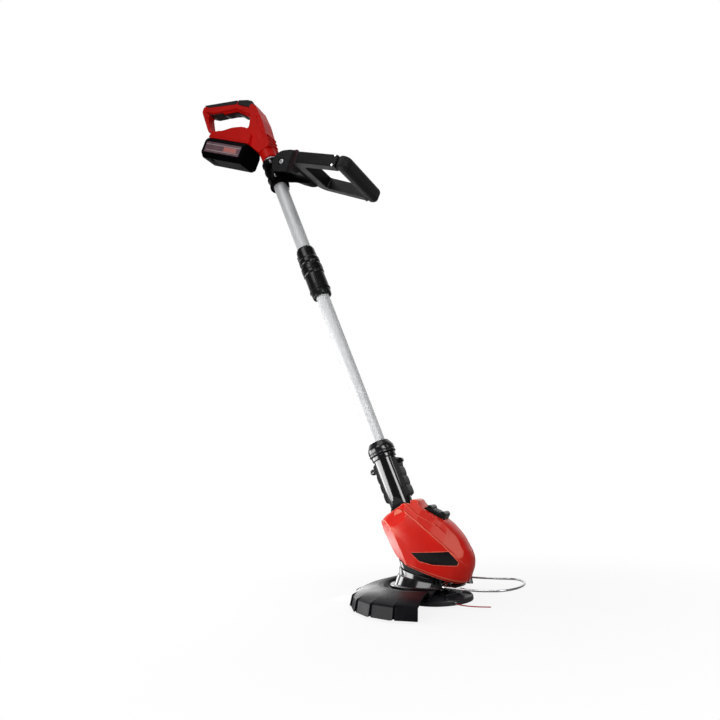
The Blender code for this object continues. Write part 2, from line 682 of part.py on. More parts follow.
def make_spool():
    top, floor = SPOOL_TOP, SPOOL_FLOOR
    wall = 0.002
    inner_r = SPOOL_R - wall
    housing = turned('spool_housing', [
        (0.011, top), (0.014, top - 0.0012), (0.030, top - 0.0028), (0.041, top - 0.0055),
        (SPOOL_R, top - 0.009), (SPOOL_R, 0.0028), (inner_r, 0.0028), (inner_r, top - 0.0098),
        (0.040, top - 0.0075), (0.0295, top - 0.0047), (SHAFT_R + GAP, top - 0.0047),
        (SHAFT_R + GAP, top)], WORLD, BLACK, SPOOL, 40)
    outward = Vector((math.cos(EYELET_ANGLE), math.sin(EYELET_ANGLE), 0))
    height = Vector((0, 0, EYELET_Z))
    cut(housing, rod('eyelet_hole', 0.0022, outward * 0.04 + height, outward * 0.06 + height,
                     sides=16))
    eyelet = rod('line_eyelet', 0.0019, outward * (inner_r + 0.0001) + height,
                 outward * (SPOOL_R + 0.0012) + height, WORLD, STEEL, SPOOL, 16)
    cut(eyelet, rod('eyelet_bore', LINE_R + GAP, outward * 0.04 + height, outward * 0.06 + height,
                    sides=12))
    lip = inner_r - GAP
    turned('spool_cover', [
        (lip, top - 0.0105), (lip, 0.0026), (0.040, 0.001), (0.0223, 0.001), (0.0223, 0.003),
        (lip - 0.0016, 0.003), (lip - 0.0016, top - 0.0105)], WORLD, BLACK, SPOOL, 40)
    core_r, flange_r = 0.012, 0.029
    turned('spool_core', [
        (flange_r, floor + 0.0052), (flange_r, floor + 0.0042), (core_r, floor + 0.0042),
        (core_r, floor + 0.001), (flange_r, floor + 0.001), (flange_r, floor),
        (SHAFT_R + 2 * GAP, floor), (SHAFT_R + 2 * GAP, floor + 0.0011), (0.0095, floor + 0.0011),
        (0.0095, floor + 0.0052)], WORLD, DARK, SPOOL, 32)
    turned('line_winding', [
        (0.027, floor + 0.0039), (0.027, floor + 0.0013), (core_r + GAP, floor + 0.0013),
        (core_r + GAP, floor + 0.0039)], WORLD, LINE, SPOOL, 32)
    turned('bump_knob', [
        (0.0, floor - GAP), (0.0219, floor - GAP), (0.0219, 0.0012), (0.0205, 0.0), (0.0, 0.0)],
        WORLD, BLACK, SPOOL, 40, closed=False)
    rod('drive_shaft', SHAFT_R, (0, 0, top - 0.0053), (0, 0, MOTOR_BOTTOM + 0.0105), WORLD, STEEL,
        SPOOL)
    wire, coil_r, turns, per_turn = 0.00045, 0.0078, 4, 10
    low = floor + 0.0011 + GAP + wire
    high = top - 0.0047 - GAP - wire
    coil = []
    for i in range(turns * per_turn + 1):
        angle = 2 * math.pi * i / per_turn
        coil.append((coil_r * math.cos(angle), coil_r * math.sin(angle),
                     low + (high - low) * i / (turns * per_turn)))
    tube('spool_spring', coil, wire, WORLD, STEEL, SPOOL, 1)
    make_line(outward, height)


def make_line(outward, height):
    exit_point = outward * (SPOOL_R + 0.0012 + GAP) + height
    route = [exit_point, exit_point + outward * 0.005, (0.0480, -0.0450, 0.0050),
             (0.0600, -0.0478, 0.0047), (0.0740, -0.0484, 0.0045), (0.0880, -0.0478, 0.0045)]
    tube('cutting_line', spline_points(route, 17), LINE_R, WORLD, LINE, SPOOL, 2)


def make_wire_guard():
    """A steel loop in front of the cutting circle, its ends turned into the lower cover."""
    half = [(WIRE_PIVOT_X, -0.0290, WIRE_PIVOT_Z), (WIRE_PIVOT_X, -0.0430, WIRE_PIVOT_Z),
            (WIRE_PIVOT_X + 0.0015, -0.0462, WIRE_PIVOT_Z),
            (WIRE_PIVOT_X + 0.005, -0.0475, WIRE_PIVOT_Z - 0.0005),
            (0.050, -0.0490, 0.0270), (0.075, -0.0505, 0.0258), (0.095, -0.0490, 0.0256)]
    for i in range(1, 7):
        angle = math.radians(90 - 15 * i)
        half.append((0.095 + 0.032 * math.cos(angle), -0.0490 * math.sin(angle), 0.0256))
    loop = half + [(x, -y, z) for x, y, z in reversed(half[:-1])]
    tube('plant_guard_wire', loop, WIRE_R, WORLD, STEEL, HEAD, 2)


# Rear handle outlines, forward and up; the foot's is in the battery's frame
BATTERY_TOP = BATTERY_SIDE + BATTERY_CHAMFER
RAIL_TOP = BATTERY_TOP + RAIL_HEIGHT
HANDLE_OUTLINE = (
    (-0.463, 1.052), (-0.457, 1.0645), (-0.356, 1.0370), (-0.329, 1.0260), (-0.3078, 1.0030),
    (-0.2945, 0.963), (-0.287, 0.930), (-0.320, 0.924), (-0.4200, 0.9720), (-0.4455, 0.993))
HAND_OPENING = (
    (-0.4465, 1.0400), (-0.429, 1.0300), (-0.364, 1.0160), (-0.326, 0.9840), (-0.331, 0.9600),
    (-0.365, 0.971), (-0.395, 0.974), (-0.427, 0.990), (-0.4415, 0.998))
COLUMN_OUTLINE = (
    (-0.325, 1.0180), (-0.3069, 1.0010), (-0.2924, 0.963), (-0.2808, 0.915), (-0.2754, 0.8930),
    (-0.3035, 0.8845), (-0.3245, 0.9090), (-0.336, 0.925), (-0.334, 0.952), (-0.3265, 0.9820))
FOOT_OUTLINE = (
    (0.001, BATTERY_TOP + GAP), (0.1245, BATTERY_TOP + GAP), (0.1200, 0.0600), (0.1003, 0.0712),
    (0.0753, 0.0715), (0.0367, 0.0600), (0.0036, 0.0465))
REAR_PAD = ((-0.4540, 1.0652), (-0.3582, 1.0392), (-0.3605, 1.0300), (-0.4400, 1.0540))
FRONT_PAD = ((-0.3562, 1.0390), (-0.3282, 1.0278), (-0.3055, 1.0035), (-0.3190, 0.9965),
             (-0.3330, 1.0120), (-0.3582, 1.0275))
LINER = ((-0.4400, 1.0405), (-0.404, 1.0325), (-0.404, 1.0248), (-0.429, 1.0302),
         (-0.4415, 1.0372))

TRIGGER_PIVOT = (-0.396, 1.030)
TRIGGER_TRAVEL = math.radians(6.0)
TRIGGER_HALF = 0.0065
TRIGGER_TIP = 6
TRIGGER_OUTLINE = (
    (-0.4015, 1.0300), (-0.398, 1.0345), (-0.385, 1.0335), (-0.362, 1.0255), (-0.345, 1.0130),
    (-0.334, 1.0005), (-0.3335, 0.9915), (-0.345, 0.9960), (-0.358, 1.0080), (-0.374, 1.0140),
    (-0.392, 1.0180), (-0.4015, 1.0225))

LOCK_OFF = (HANDLE @ Matrix.Translation((-0.3355, 0, 1.0295))
            @ Matrix.Rotation(math.radians(28), 4, 'Y'))
LOCK_OFF_HALF = (0.0065, 0.0045)


def grown(outline, amount):
    """Moves each side of a closed outline outwards by the same amount."""
    count = len(outline)
    area = sum(outline[i][0] * outline[(i + 1) % count][1] - outline[(i + 1) % count][0] * outline[i][1]
               for i in range(count))
    turn = 1 if area > 0 else -1
    points = []
    for i in range(count):
        before, here, after = (Vector(outline[(i + k) % count]) for k in (-1, 0, 1))
        first = (here - before).normalized()
        second = (after - here).normalized()
        normal_a = Vector((first.y, -first.x)) * turn
        normal_b = Vector((second.y, -second.x)) * turn
        middle = (normal_a + normal_b).normalized()
        place = here + middle * amount / max(middle.dot(normal_a), 0.4)
        points.append((place.x, place.y))
    return points


def turned_about(outline, centre, angle):
    """Turns an outline in the XZ plane, lifting what lies in front of the centre."""
    c, s = math.cos(angle), math.sin(angle)
    return [(centre[0] + (x - centre[0]) * c - (z - centre[1]) * s,
             centre[1] + (x - centre[0]) * s + (z - centre[1]) * c) for x, z in outline]


def trigger_slot():
    """The room that the trigger sweeps: its lower edge at rest, its upper edge pulled, its tip's arc."""
    pulled = turned_about(TRIGGER_OUTLINE, TRIGGER_PIVOT, TRIGGER_TRAVEL + math.radians(1.0))
    tip = TRIGGER_TIP
    steps = 5
    swept = [turned_about([TRIGGER_OUTLINE[tip]], TRIGGER_PIVOT,
                          (TRIGGER_TRAVEL + math.radians(1.0)) * (steps - i) / steps)[0]
             for i in range(steps)]
    return list(TRIGGER_OUTLINE[:1]) + pulled[1:tip] + swept + list(TRIGGER_OUTLINE[tip:])


def handle_half(side, place):
    """One half of the handle body before its pockets are cut."""
    shell = flat(f'handle_shell_{place}', HANDLE_OUTLINE, -BAR_HALF, BAR_HALF, HANDLE, RED, UPPER,
                 [HAND_OPENING], 0.003)
    neck = loft(f'neck_{place}', [
        superellipse(0, radius, radius, height, 36) for radius, height in (
            (UPPER_TUBE_R + 0.0028, NECK_BOTTOM), (UPPER_TUBE_R + 0.0032, NECK_BOTTOM + 0.019),
            (UPPER_TUBE_R + 0.0044, NECK_BOTTOM + 0.041),
            (UPPER_TUBE_R + 0.0048, NECK_BOTTOM + 0.067))], POLE)
    join(shell, flat(f'column_{place}', COLUMN_OUTLINE, -COLUMN_HALF, COLUMN_HALF, HANDLE,
                     soften=0.003),
         flat(f'foot_{place}', FOOT_OUTLINE, -FOOT_HALF, FOOT_HALF, BATTERY, soften=0.002), neck)
    low, high = sorted((side * SHELL_SPLIT, side * 0.1))
    keep = block(f'handle_keep_{place}', (-0.6, low, 0.6), (0.1, high, 1.3), HANDLE)
    return boolean(shell, keep, 'INTERSECT')


def make_rear_handle():
    shells = {place: handle_half(side, place) for side, place in ((-1, 'right'), (1, 'left'))}
    bore = rod('neck_bore', TUBE_SEAT_R, (0, 0, NECK_BOTTOM - 0.07), (0, 0, UPPER_TUBE_TOP + GAP),
               POLE, sides=40)
    wide = 0.05
    pads = [flat(f'{name}_recess', grown(outline, GAP), -wide, wide, HANDLE)
            for name, outline in (('rear_pad', REAR_PAD), ('front_pad', FRONT_PAD))]
    liner = flat('liner_recess', grown(LINER, GAP), -0.0112, 0.0112, HANDLE)
    slot = flat('trigger_slot', grown(trigger_slot(), 0.0008), -TRIGGER_HALF - GAP,
                TRIGGER_HALF + GAP, HANDLE)
    pocket = flat('switch_pocket', grown(SWITCH_OUTLINE, GAP), -0.0085, 0.0085, HANDLE)
    cable_way = tube('cable_way', CABLE_ROUTE, 0.0034, HANDLE)
    channel = block('battery_channel', (-0.05, -RAIL_NECK - 0.0004, 0),
                    (BATTERY_LENGTH + 0.0006, RAIL_NECK + 0.0004, RAIL_TOP - 0.001), BATTERY)
    rail_room = block('rail_room', (-0.05, -RAIL_HALF - 0.0004, RAIL_TOP - RAIL_LIP - 0.0004),
                      (BATTERY_LENGTH + 0.0006, RAIL_HALF + 0.0004, RAIL_TOP + 0.0004), BATTERY)
    terminal = block('terminal_pocket', TERMINAL_LOW_CUT, TERMINAL_HIGH_CUT, BATTERY)
    lock = block('lock_off_well', (-LOCK_OFF_HALF[0] - GAP, -LOCK_OFF_HALF[1] - GAP, -0.0095),
                 (LOCK_OFF_HALF[0] + GAP, LOCK_OFF_HALF[1] + GAP, 0.02), LOCK_OFF)
    for place, shell in shells.items():
        cut(shell, bore, *pads, liner, slot, pocket, cable_way, channel, rail_room, terminal, lock)
    for i, (x, z) in enumerate(SCREW_PLACES):
        cut(shells['left'], rod(f'screw_well_{i}', SCREW_R + GAP, (x, 0.0105, z), (x, 0.05, z),
                                HANDLE, sides=16))
        rod(f'handle_screw_{i + 1}', SCREW_R, (x, 0.0108, z), (x, 0.0134, z), HANDLE, STEEL, UPPER,
            16)
    flat('grip_pad_rear', REAR_PAD, -BAR_HALF, BAR_HALF, HANDLE, SOFT, UPPER, soften=0.0018)
    front = flat('grip_pad_front', FRONT_PAD, -BAR_HALF - 0.0006, BAR_HALF + 0.0006, HANDLE, SOFT,
                 UPPER, soften=0.0018)
    cut(front, lock)
    flat('grip_liner', LINER, -0.0109, 0.0109, HANDLE, SOFT, UPPER)
    flat('trigger', TRIGGER_OUTLINE, -TRIGGER_HALF, TRIGGER_HALF, HANDLE, BLACK, UPPER)
    block('lock_off_button', (-LOCK_OFF_HALF[0], -LOCK_OFF_HALF[1], -0.0055),
          (LOCK_OFF_HALF[0], LOCK_OFF_HALF[1], 0.0065), LOCK_OFF, BLACK, UPPER, 0.001)
    flat('switch_body', SWITCH_OUTLINE, -0.0082, 0.0082, HANDLE, DARK, UPPER)
    block('terminal_block', TERMINAL_LOW, TERMINAL_HIGH, BATTERY, DARK, UPPER)
    below = [tuple(HANDLE.inverted() @ POLE @ Vector((CABLE_SIDE, 0, s))) for s in (0.64, 0.55, 0.42)]
    tube('upper_cable', CABLE_ROUTE[1:] + below, 0.003, HANDLE, CABLE, UPPER)
    tube('lower_cable', [tuple(POLE @ Vector((-CABLE_SIDE, 0, s))) for s in (0.0325, 0.12, 0.24, 0.35)],
         0.003, WORLD, CABLE, LOWER)


CABLE_SIDE = 0.0082
SWITCH_OUTLINE = ((-0.3230, 0.9880), (-0.3120, 0.9820), (-0.3055, 0.9560), (-0.3170, 0.9520),
                  (-0.3280, 0.9560))
CABLE_ROUTE = [(-0.312, 0, 0.975), (-0.3118, 0, 0.951), tuple(POLE @ Vector((CABLE_SIDE, 0, 0.845))),
               tuple(POLE @ Vector((CABLE_SIDE, 0, 0.82)))]
SCREW_PLACES = ((-0.4545, 1.030), (-0.3165, 0.992), (-0.3035, 0.938), (-0.417, 0.9745))
TERMINAL_LOW = (0.084, -0.013, RAIL_TOP + 0.0008)
TERMINAL_HIGH = (0.108, 0.013, RAIL_TOP + 0.0095)
TERMINAL_LOW_CUT = (0.084 - GAP, -0.013 - GAP, BATTERY_TOP)
TERMINAL_HIGH_CUT = (0.108 + GAP, 0.013 + GAP, RAIL_TOP + 0.0095 + GAP)


def battery_section(inset, top):
    """Half of the battery's cross section on the -Y side, as (across, up)."""
    half = BATTERY_HALF - inset
    chamfer = BATTERY_CHAMFER
    return [(-half + chamfer, -chamfer + inset), (-half, 0.0), (-half, BATTERY_SIDE),
            (-half + 0.005, top)]


def make_battery():
    end = BATTERY @ Matrix.Rotation(math.radians(90), 4, 'Z')
    seam = BATTERY_SIDE + 0.0045
    case_half = battery_section(0.0, BATTERY_TOP)
    case_outline = mirrored_across(case_half)
    case = flat('battery_case', case_outline, -BATTERY_LENGTH, 0.0, end, BLACK, BATTERY_BODY,
                soften=0.0016, segments=1)
    above = block('case_top_cut', (-0.1, -0.1, seam), (0.3, 0.1, 0.2), BATTERY)
    hollow = flat('case_hollow', mirrored_across(battery_section(BATTERY_WALL, 0.05)),
                  -BATTERY_LENGTH + BATTERY_WALL, -BATTERY_WALL, end)
    latch_low = (0.007, -0.011, -BATTERY_CHAMFER - 0.001)
    latch_high = (0.021, 0.011, -BATTERY_CHAMFER + 0.0045)
    latch_hole = block('latch_hole', [v - GAP for v in latch_low[:2]] + [-0.05],
                       [v + GAP for v in latch_high[:2]] + [0.0], BATTERY)
    cut(case, above, hollow, latch_hole)
    lid = flat('battery_lid', case_outline, -BATTERY_LENGTH, 0.0, end, BLACK, BATTERY_BODY,
               soften=0.0016, segments=1)
    cut(lid, block('lid_bottom_cut', (-0.1, -0.1, -0.1), (0.3, 0.1, seam + GAP), BATTERY))
    join(lid, block('lid_rail_neck', (0.004, -RAIL_NECK, BATTERY_TOP - 0.003),
                    (BATTERY_LENGTH - 0.004, RAIL_NECK, RAIL_TOP - 0.0005), BATTERY),
         block('lid_rail', (0.0045, -RAIL_HALF, RAIL_TOP - RAIL_LIP),
               (BATTERY_LENGTH - 0.0045, RAIL_HALF, RAIL_TOP), BATTERY))
    bottom = -BATTERY_CHAMFER + BATTERY_WALL + GAP
    pack = None
    spacing = (BATTERY_LENGTH - 2 * BATTERY_WALL - 2 * CELL_R - 0.006) / (CELL_COUNT - 1)
    for i in range(CELL_COUNT):
        along = BATTERY_WALL + 0.003 + CELL_R + spacing * i
        height = bottom + 0.0105 + CELL_R
        ends = [(along, side * CELL_LENGTH / 2, height) for side in (-1, 1)]
        if pack is None:
            pack = rod('battery_cells', CELL_R, *ends, BATTERY, CELLS, BATTERY_BODY, 20)
        else:
            join(pack, rod(f'cell_{i + 1}', CELL_R, *ends, BATTERY, sides=20))
    join(pack, block('cell_holder', (0.006, -0.012, bottom + 0.0075),
                     (BATTERY_LENGTH - 0.006, 0.012, bottom + 0.0165), BATTERY),
         block('cell_feet', (0.030, -0.010, bottom), (BATTERY_LENGTH - 0.030, 0.010, bottom + 0.012),
               BATTERY))
    block('battery_latch_button', latch_low, latch_high, BATTERY, DARK, BATTERY_BODY, 0.0008)


def make_clamp():
    ear_in, ear_out, ear_deep = CLAMP_R - 0.002, CLAMP_R + 0.0095, 0.0065
    levels = (CLAMP_BOTTOM + 0.0105, CLAMP_TOP - 0.0155)
    halves = []
    lug = flat('clamp_lug', [(TUBE_SEAT_R + 0.0022, PIVOT_HEIGHT - 0.0127)]
               + arc((PIVOT_FORWARD, PIVOT_HEIGHT), 0.0095, -80, 80, 9)
               + [(TUBE_SEAT_R + 0.0022, PIVOT_HEIGHT + 0.0127)], -LUG_HALF, LUG_HALF, POLE)
    for part, sign, look_name in (('rear', -1, 'clamp_rear'), ('front', 1, 'clamp_front')):
        shell = turned(look_name, [(CLAMP_R, CLAMP_TOP), (CLAMP_R, CLAMP_BOTTOM),
                                   (TUBE_SEAT_R, CLAMP_BOTTOM), (TUBE_SEAT_R, CLAMP_TOP)],
                       POLE @ Matrix.Rotation(math.radians(5), 4, 'Z'), BLACK, CLAMP, 36)
        for level in levels:
            for side in (-1, 1):
                low_y, high_y = sorted((side * ear_in, side * ear_out))
                join(shell, block(f'ear_{part}_{level}_{side}', (-ear_deep, low_y, level - 0.007),
                                  (ear_deep, high_y, level + 0.007), POLE))
        if sign > 0:
            join(shell, lug)
        low, high = sorted((sign * SHELL_SPLIT, sign * 0.1))
        boolean(shell, block(f'clamp_keep_{part}', (low, -0.1, CLAMP_BOTTOM - 0.1),
                             (high, 0.1, CLAMP_TOP + 0.1), POLE), 'INTERSECT')
        halves.append(shell)
    rear, front = halves
    notch = 0.5 * (levels[0] + levels[1])
    cut(rear, block('strap_notch', (-0.04, -0.016, notch - 0.007), (-0.001, 0.016, notch + 0.007),
                    POLE))
    pivot_hole = rod('pivot_hole', 0.0033, (PIVOT_FORWARD, -0.05, PIVOT_HEIGHT),
                     (PIVOT_FORWARD, 0.05, PIVOT_HEIGHT), POLE)
    cut(front, pivot_hole)
    bolt_y = 0.5 * (ear_in + ear_out) + 0.0008
    number = 0
    for level in levels:
        for side in (-1, 1):
            number += 1
            hole = rod(f'clamp_bolt_hole_{number}', 0.0023, (-0.03, side * bolt_y, level),
                       (0.03, side * bolt_y, level), POLE, sides=16)
            cut(rear, hole)
            cut(front, hole)
            bolt = rod(f'clamp_bolt_{number}', 0.002, (-ear_deep + 0.001, side * bolt_y, level),
                       (ear_deep + 0.001, side * bolt_y, level), POLE, STEEL, CLAMP, 16)
            join(bolt, rod(f'clamp_bolt_head_{number}', 0.0038,
                           (ear_deep + GAP, side * bolt_y, level),
                           (ear_deep + 0.0035, side * bolt_y, level), POLE, sides=6))
    bolt = rod('pivot_bolt', 0.003, (0, -0.0225, 0), (0, 0.0232, 0), LOOP, STEEL, CLAMP)
    join(bolt, rod('pivot_bolt_head', 0.0055, (0, -0.0248, 0), (0, -CHEEK_OUT - GAP, 0), LOOP,
                   sides=6))


CHEEK_OUT = 0.0205


def make_front_handle():
    half_bar = BAR_WIDTH / 2
    slant = (FRONT_HALF - REAR_HALF) / (CROSSBAR - REAR_BAR)
    front_edge = CROSSBAR - half_bar - 0.0033
    rear_out = REAR_HALF + half_bar
    front_out = REAR_HALF + slant * (front_edge - REAR_BAR) + half_bar
    front_in = front_out - BAR_WIDTH
    rear_in = REAR_HALF - half_bar + slant * half_bar
    yoke = [(-0.010, -0.0135), (-0.0085, -0.0185), (-0.006, -CHEEK_OUT), (0.016, -CHEEK_OUT),
            (0.024, -CHEEK_OUT - 0.0012), (0.046, -0.036), (0.061, -rear_out + 0.004),
            (0.072, -rear_out - 0.0005),
            (front_edge, -front_out), (front_edge, -front_in), (REAR_BAR + half_bar, -rear_in),
            (REAR_BAR + half_bar, rear_in), (front_edge, front_in), (front_edge, front_out),
            (0.072, rear_out + 0.0005), (0.061, rear_out - 0.004), (0.046, 0.036),
            (0.024, CHEEK_OUT + 0.0012), (0.016, CHEEK_OUT), (-0.006, CHEEK_OUT), (-0.0085, 0.0185),
            (-0.010, 0.0135),
            (0.0145, 0.0135), (0.0145, -0.0135)]
    lie = LOOP @ Matrix.Rotation(math.radians(-90), 4, 'X')
    deep = LOOP_HALF_DEPTH
    frame = flat('front_handle_frame', yoke, -deep, deep, lie, BLACK, FRONT_HANDLE, soften=0.0035)
    notch = block('lug_room', (-0.03, -LUG_HALF - 0.0008, -0.03), (0.0145, LUG_HALF + 0.0008, 0.03),
                  LOOP)
    tenon = 0.0095
    core_deep = 0.0062
    core_front = CROSSBAR + 0.0062
    core_rear = CROSSBAR - 0.0062
    for side in (-1, 1):
        low, high = sorted((side * (front_in + 0.004), side * (front_in + 0.004 + tenon)))
        join(frame, block(f'tenon_{side}', (front_edge - 0.003, low, -core_deep),
                          (core_front, high, core_deep), LOOP))
    join(frame, block('crossbar_core', (core_rear, -front_in - 0.006, -core_deep),
                      (core_front, front_in + 0.006, core_deep), LOOP))
    cut(frame, notch, rod('frame_pivot_hole', 0.0033, (0, -0.05, 0), (0, 0.05, 0), LOOP))
    grip_out = front_out + 0.001
    grip_rear, grip_front = front_edge + GAP, CROSSBAR + half_bar + 0.0045
    corner = 0.011
    grip_outline = [(grip_rear, -grip_out), (grip_front - corner, -grip_out)]
    grip_outline += [(grip_front - corner + corner * math.sin(math.radians(a)),
                      -grip_out + corner - corner * math.cos(math.radians(a)))
                     for a in (25, 50, 70)]
    grip_outline = mirrored(grip_outline)
    grip = flat('front_grip', grip_outline, -deep - 0.0022, deep + 0.0022, lie, SOFT, FRONT_HANDLE,
                soften=0.006)
    cut(grip, block('core_room', (core_rear - GAP, -front_in - 0.004 - tenon - GAP, -core_deep - GAP),
                    (core_front + GAP, front_in + 0.004 + tenon + GAP, core_deep + GAP), LOOP))
    for side in (-1, 1):
        low, high = sorted((side * (front_in + 0.004 - GAP), side * (front_in + 0.004 + tenon + GAP)))
        cut(grip, block(f'tenon_room_{side}', (front_edge - 0.01, low, -core_deep - GAP),
                        (core_front + GAP, high, core_deep + GAP), LOOP))
    knob = turned('handle_knob', [
        (0.0, 0.0345), (0.009, 0.0345), (0.0115, 0.0325), (0.0125, 0.0235), (0.0055, CHEEK_OUT + GAP),
        (0.0033, CHEEK_OUT + GAP), (0.0033, 0.0236), (0.0, 0.0236)],
        LOOP @ Matrix.Rotation(math.radians(-90), 4, 'X'), BLACK, FRONT_HANDLE, 24, closed=False)
    for i in range(6):
        angle = math.radians(60 * i)
        x, y = 0.0148 * math.cos(angle), 0.0148 * math.sin(angle)
        cut(knob, rod(f'knob_flute_{i}', 0.004, (x, 0.02, y), (x, 0.04, y), LOOP, sides=14))


make_tubes()
make_telescope_lock()
make_sleeve()
make_housing()
badge('badge_panel', 0.0, 0.0001, BADGE_DEPTH - GAP, BLACK, HEAD)
make_tilt_button()
make_lower_cover()
make_guard()
make_spool()
make_wire_guard()
make_rear_handle()
make_battery()
make_clamp()
make_front_handle()
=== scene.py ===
"""Dressed model of the cordless string trimmer: camera, studio, materials and detailed pieces.

Shapes are in millimetres in one of the frames below, and raw() turns them into metres. Materials, lights
and the cutting line are in metres.
"""

import json
import math

import bmesh
import bpy
from mathutils import Matrix, Vector

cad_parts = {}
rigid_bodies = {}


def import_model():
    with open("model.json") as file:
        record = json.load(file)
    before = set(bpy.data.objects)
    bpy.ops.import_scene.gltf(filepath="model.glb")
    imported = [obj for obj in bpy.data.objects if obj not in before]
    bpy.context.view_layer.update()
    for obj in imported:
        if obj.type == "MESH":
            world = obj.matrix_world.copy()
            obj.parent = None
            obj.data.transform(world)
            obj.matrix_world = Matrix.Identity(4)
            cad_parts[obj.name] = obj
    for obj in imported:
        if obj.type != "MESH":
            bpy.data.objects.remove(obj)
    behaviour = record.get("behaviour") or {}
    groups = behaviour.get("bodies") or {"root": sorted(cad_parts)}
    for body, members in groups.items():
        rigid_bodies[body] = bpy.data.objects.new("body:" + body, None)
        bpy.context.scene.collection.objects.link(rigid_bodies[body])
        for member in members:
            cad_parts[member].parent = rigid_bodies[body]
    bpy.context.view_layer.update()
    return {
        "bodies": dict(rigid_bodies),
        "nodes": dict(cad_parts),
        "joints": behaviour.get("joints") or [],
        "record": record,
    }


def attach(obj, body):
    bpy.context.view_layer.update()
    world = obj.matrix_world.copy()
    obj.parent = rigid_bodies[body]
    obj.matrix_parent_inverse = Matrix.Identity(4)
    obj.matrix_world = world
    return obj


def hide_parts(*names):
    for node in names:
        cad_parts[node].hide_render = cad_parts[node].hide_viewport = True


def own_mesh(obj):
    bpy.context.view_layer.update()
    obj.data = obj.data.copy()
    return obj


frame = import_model()
nodes = frame["nodes"]


def at(x, y, z):
    """A shift by millimetres."""
    return Matrix.Translation((x / 1000, y / 1000, z / 1000))


def turned(degrees, axis="Y"):
    return Matrix.Rotation(math.radians(degrees), 4, axis)


PIVOT_HEIGHT = 730
WORLD = Matrix.Identity(4)
POLE = at(-47, 0, 133.7) @ turned(-18)
RIM = at(-62, 0, 66) @ turned(17.3)
BATTERY = at(-452, 0, 936) @ turned(27.9)
LOOP = POLE @ at(31, 0, PIVOT_HEIGHT) @ turned(46.1)
LIE = LOOP @ turned(-90, "X")
TILT_BUTTON = at(7.8, 0, 131) @ turned(28)
LOCK_OFF = at(-335.5, 0, 1029.5) @ turned(28)

# The photograph's camera: where it stands, its axes, and its focal length and picture width in pixels
STAND = (0.298844, -0.850598, 0.174534)
RIGHT = Vector((0.89225347, 0.44609715, -0.0698647))
UP = Vector((0.16531305, -0.17874769, 0.96990765))
LOOK = Vector((-0.42018489, 0.87695302, 0.23323393))
FOCAL, PICTURE = 541.985, 720


def add(name, data):
    made = bpy.data.objects.new(name, data)
    bpy.context.collection.objects.link(made)
    return made


def make_camera():
    data = bpy.data.cameras.new("camera")
    data.sensor_width = 36
    data.lens = FOCAL * data.sensor_width / PICTURE
    data.clip_start = 0.01
    data.clip_end = 60
    camera = add("camera", data)
    camera.matrix_world = Matrix.Translation(STAND) @ Matrix((RIGHT, UP, -LOOK)).transposed().to_4x4()
    bpy.context.scene.camera = camera
    bpy.context.scene.view_settings.view_transform = "Standard"


make_camera()


class Nodes:
    """A node tree, with short calls for the nodes used here."""

    def __init__(self, owner):
        owner.use_nodes = True
        self.tree = owner.node_tree

    def feed(self, socket, value):
        """Links an output to a socket, or sets what the socket holds."""
        if isinstance(value, bpy.types.NodeSocket):
            self.tree.links.new(value, socket)
        else:
            socket.default_value = value

    def node(self, kind, values, **settings):
        """A node with its settings, and with values for its inputs by name or number."""
        made = self.tree.nodes.new("ShaderNode" + kind)
        for key, value in settings.items():
            setattr(made, key, value)
        for key, value in values.items():
            self.feed(made.inputs[key], value)
        return made

    def place(self, kind="Object"):
        return self.node("TexCoord", {}).outputs[kind]

    def ramp(self, fac, low, high, dark, light, **settings):
        return self.node("MapRange", {"Value": fac, "From Min": low, "From Max": high, "To Min": dark,
                                      "To Max": light}, **settings).outputs["Result"]

    def math(self, kind, a, b):
        return self.node("Math", {0: a, 1: b}, operation=kind).outputs["Value"]

    def mix(self, fac, a, b):
        a, b = ((*value, 1) if isinstance(value, tuple) else value for value in (a, b))
        return self.node("Mix", {"Factor": fac, 6: a, 7: b}, data_type="RGBA").outputs[2]


class Shader(Nodes):
    """A material's node tree, which ends in its Principled node."""

    def __init__(self, name):
        self.material = bpy.data.materials.new(name)
        super().__init__(self.material)
        self.bsdf = self.tree.nodes["Principled BSDF"]
        self.object = self.place()

    def stretched(self, scale, rotation=(0, 0, 0)):
        return self.node("Mapping", {"Vector": self.object, "Scale": scale,
                                     "Rotation": rotation}).outputs["Vector"]

    def noise(self, scale, detail=3, roughness=0.5, vector=None):
        return self.node("TexNoise", {"Vector": vector or self.object, "Scale": scale, "Detail": detail,
                                      "Roughness": roughness}).outputs["Fac"]

    def bump(self, height, strength, distance, under=None):
        made = self.node("Bump", {"Strength": strength, "Distance": distance, "Height": height})
        if under:
            self.feed(made.inputs["Normal"], under)
        self.set(Normal=made.outputs["Normal"])
        return made.outputs["Normal"]

    def edges(self, low, high):
        """1 along convex edges, where a painted highlight goes."""
        return self.ramp(self.node("NewGeometry", {}).outputs["Pointiness"], low, high, 0.0, 1.0)

    def set(self, **values):
        for key, value in values.items():
            self.feed(self.bsdf.inputs[key.replace("_", " ")], value)


def scaled(colour, share):
    return tuple(min(1.0, c * share) for c in colour)


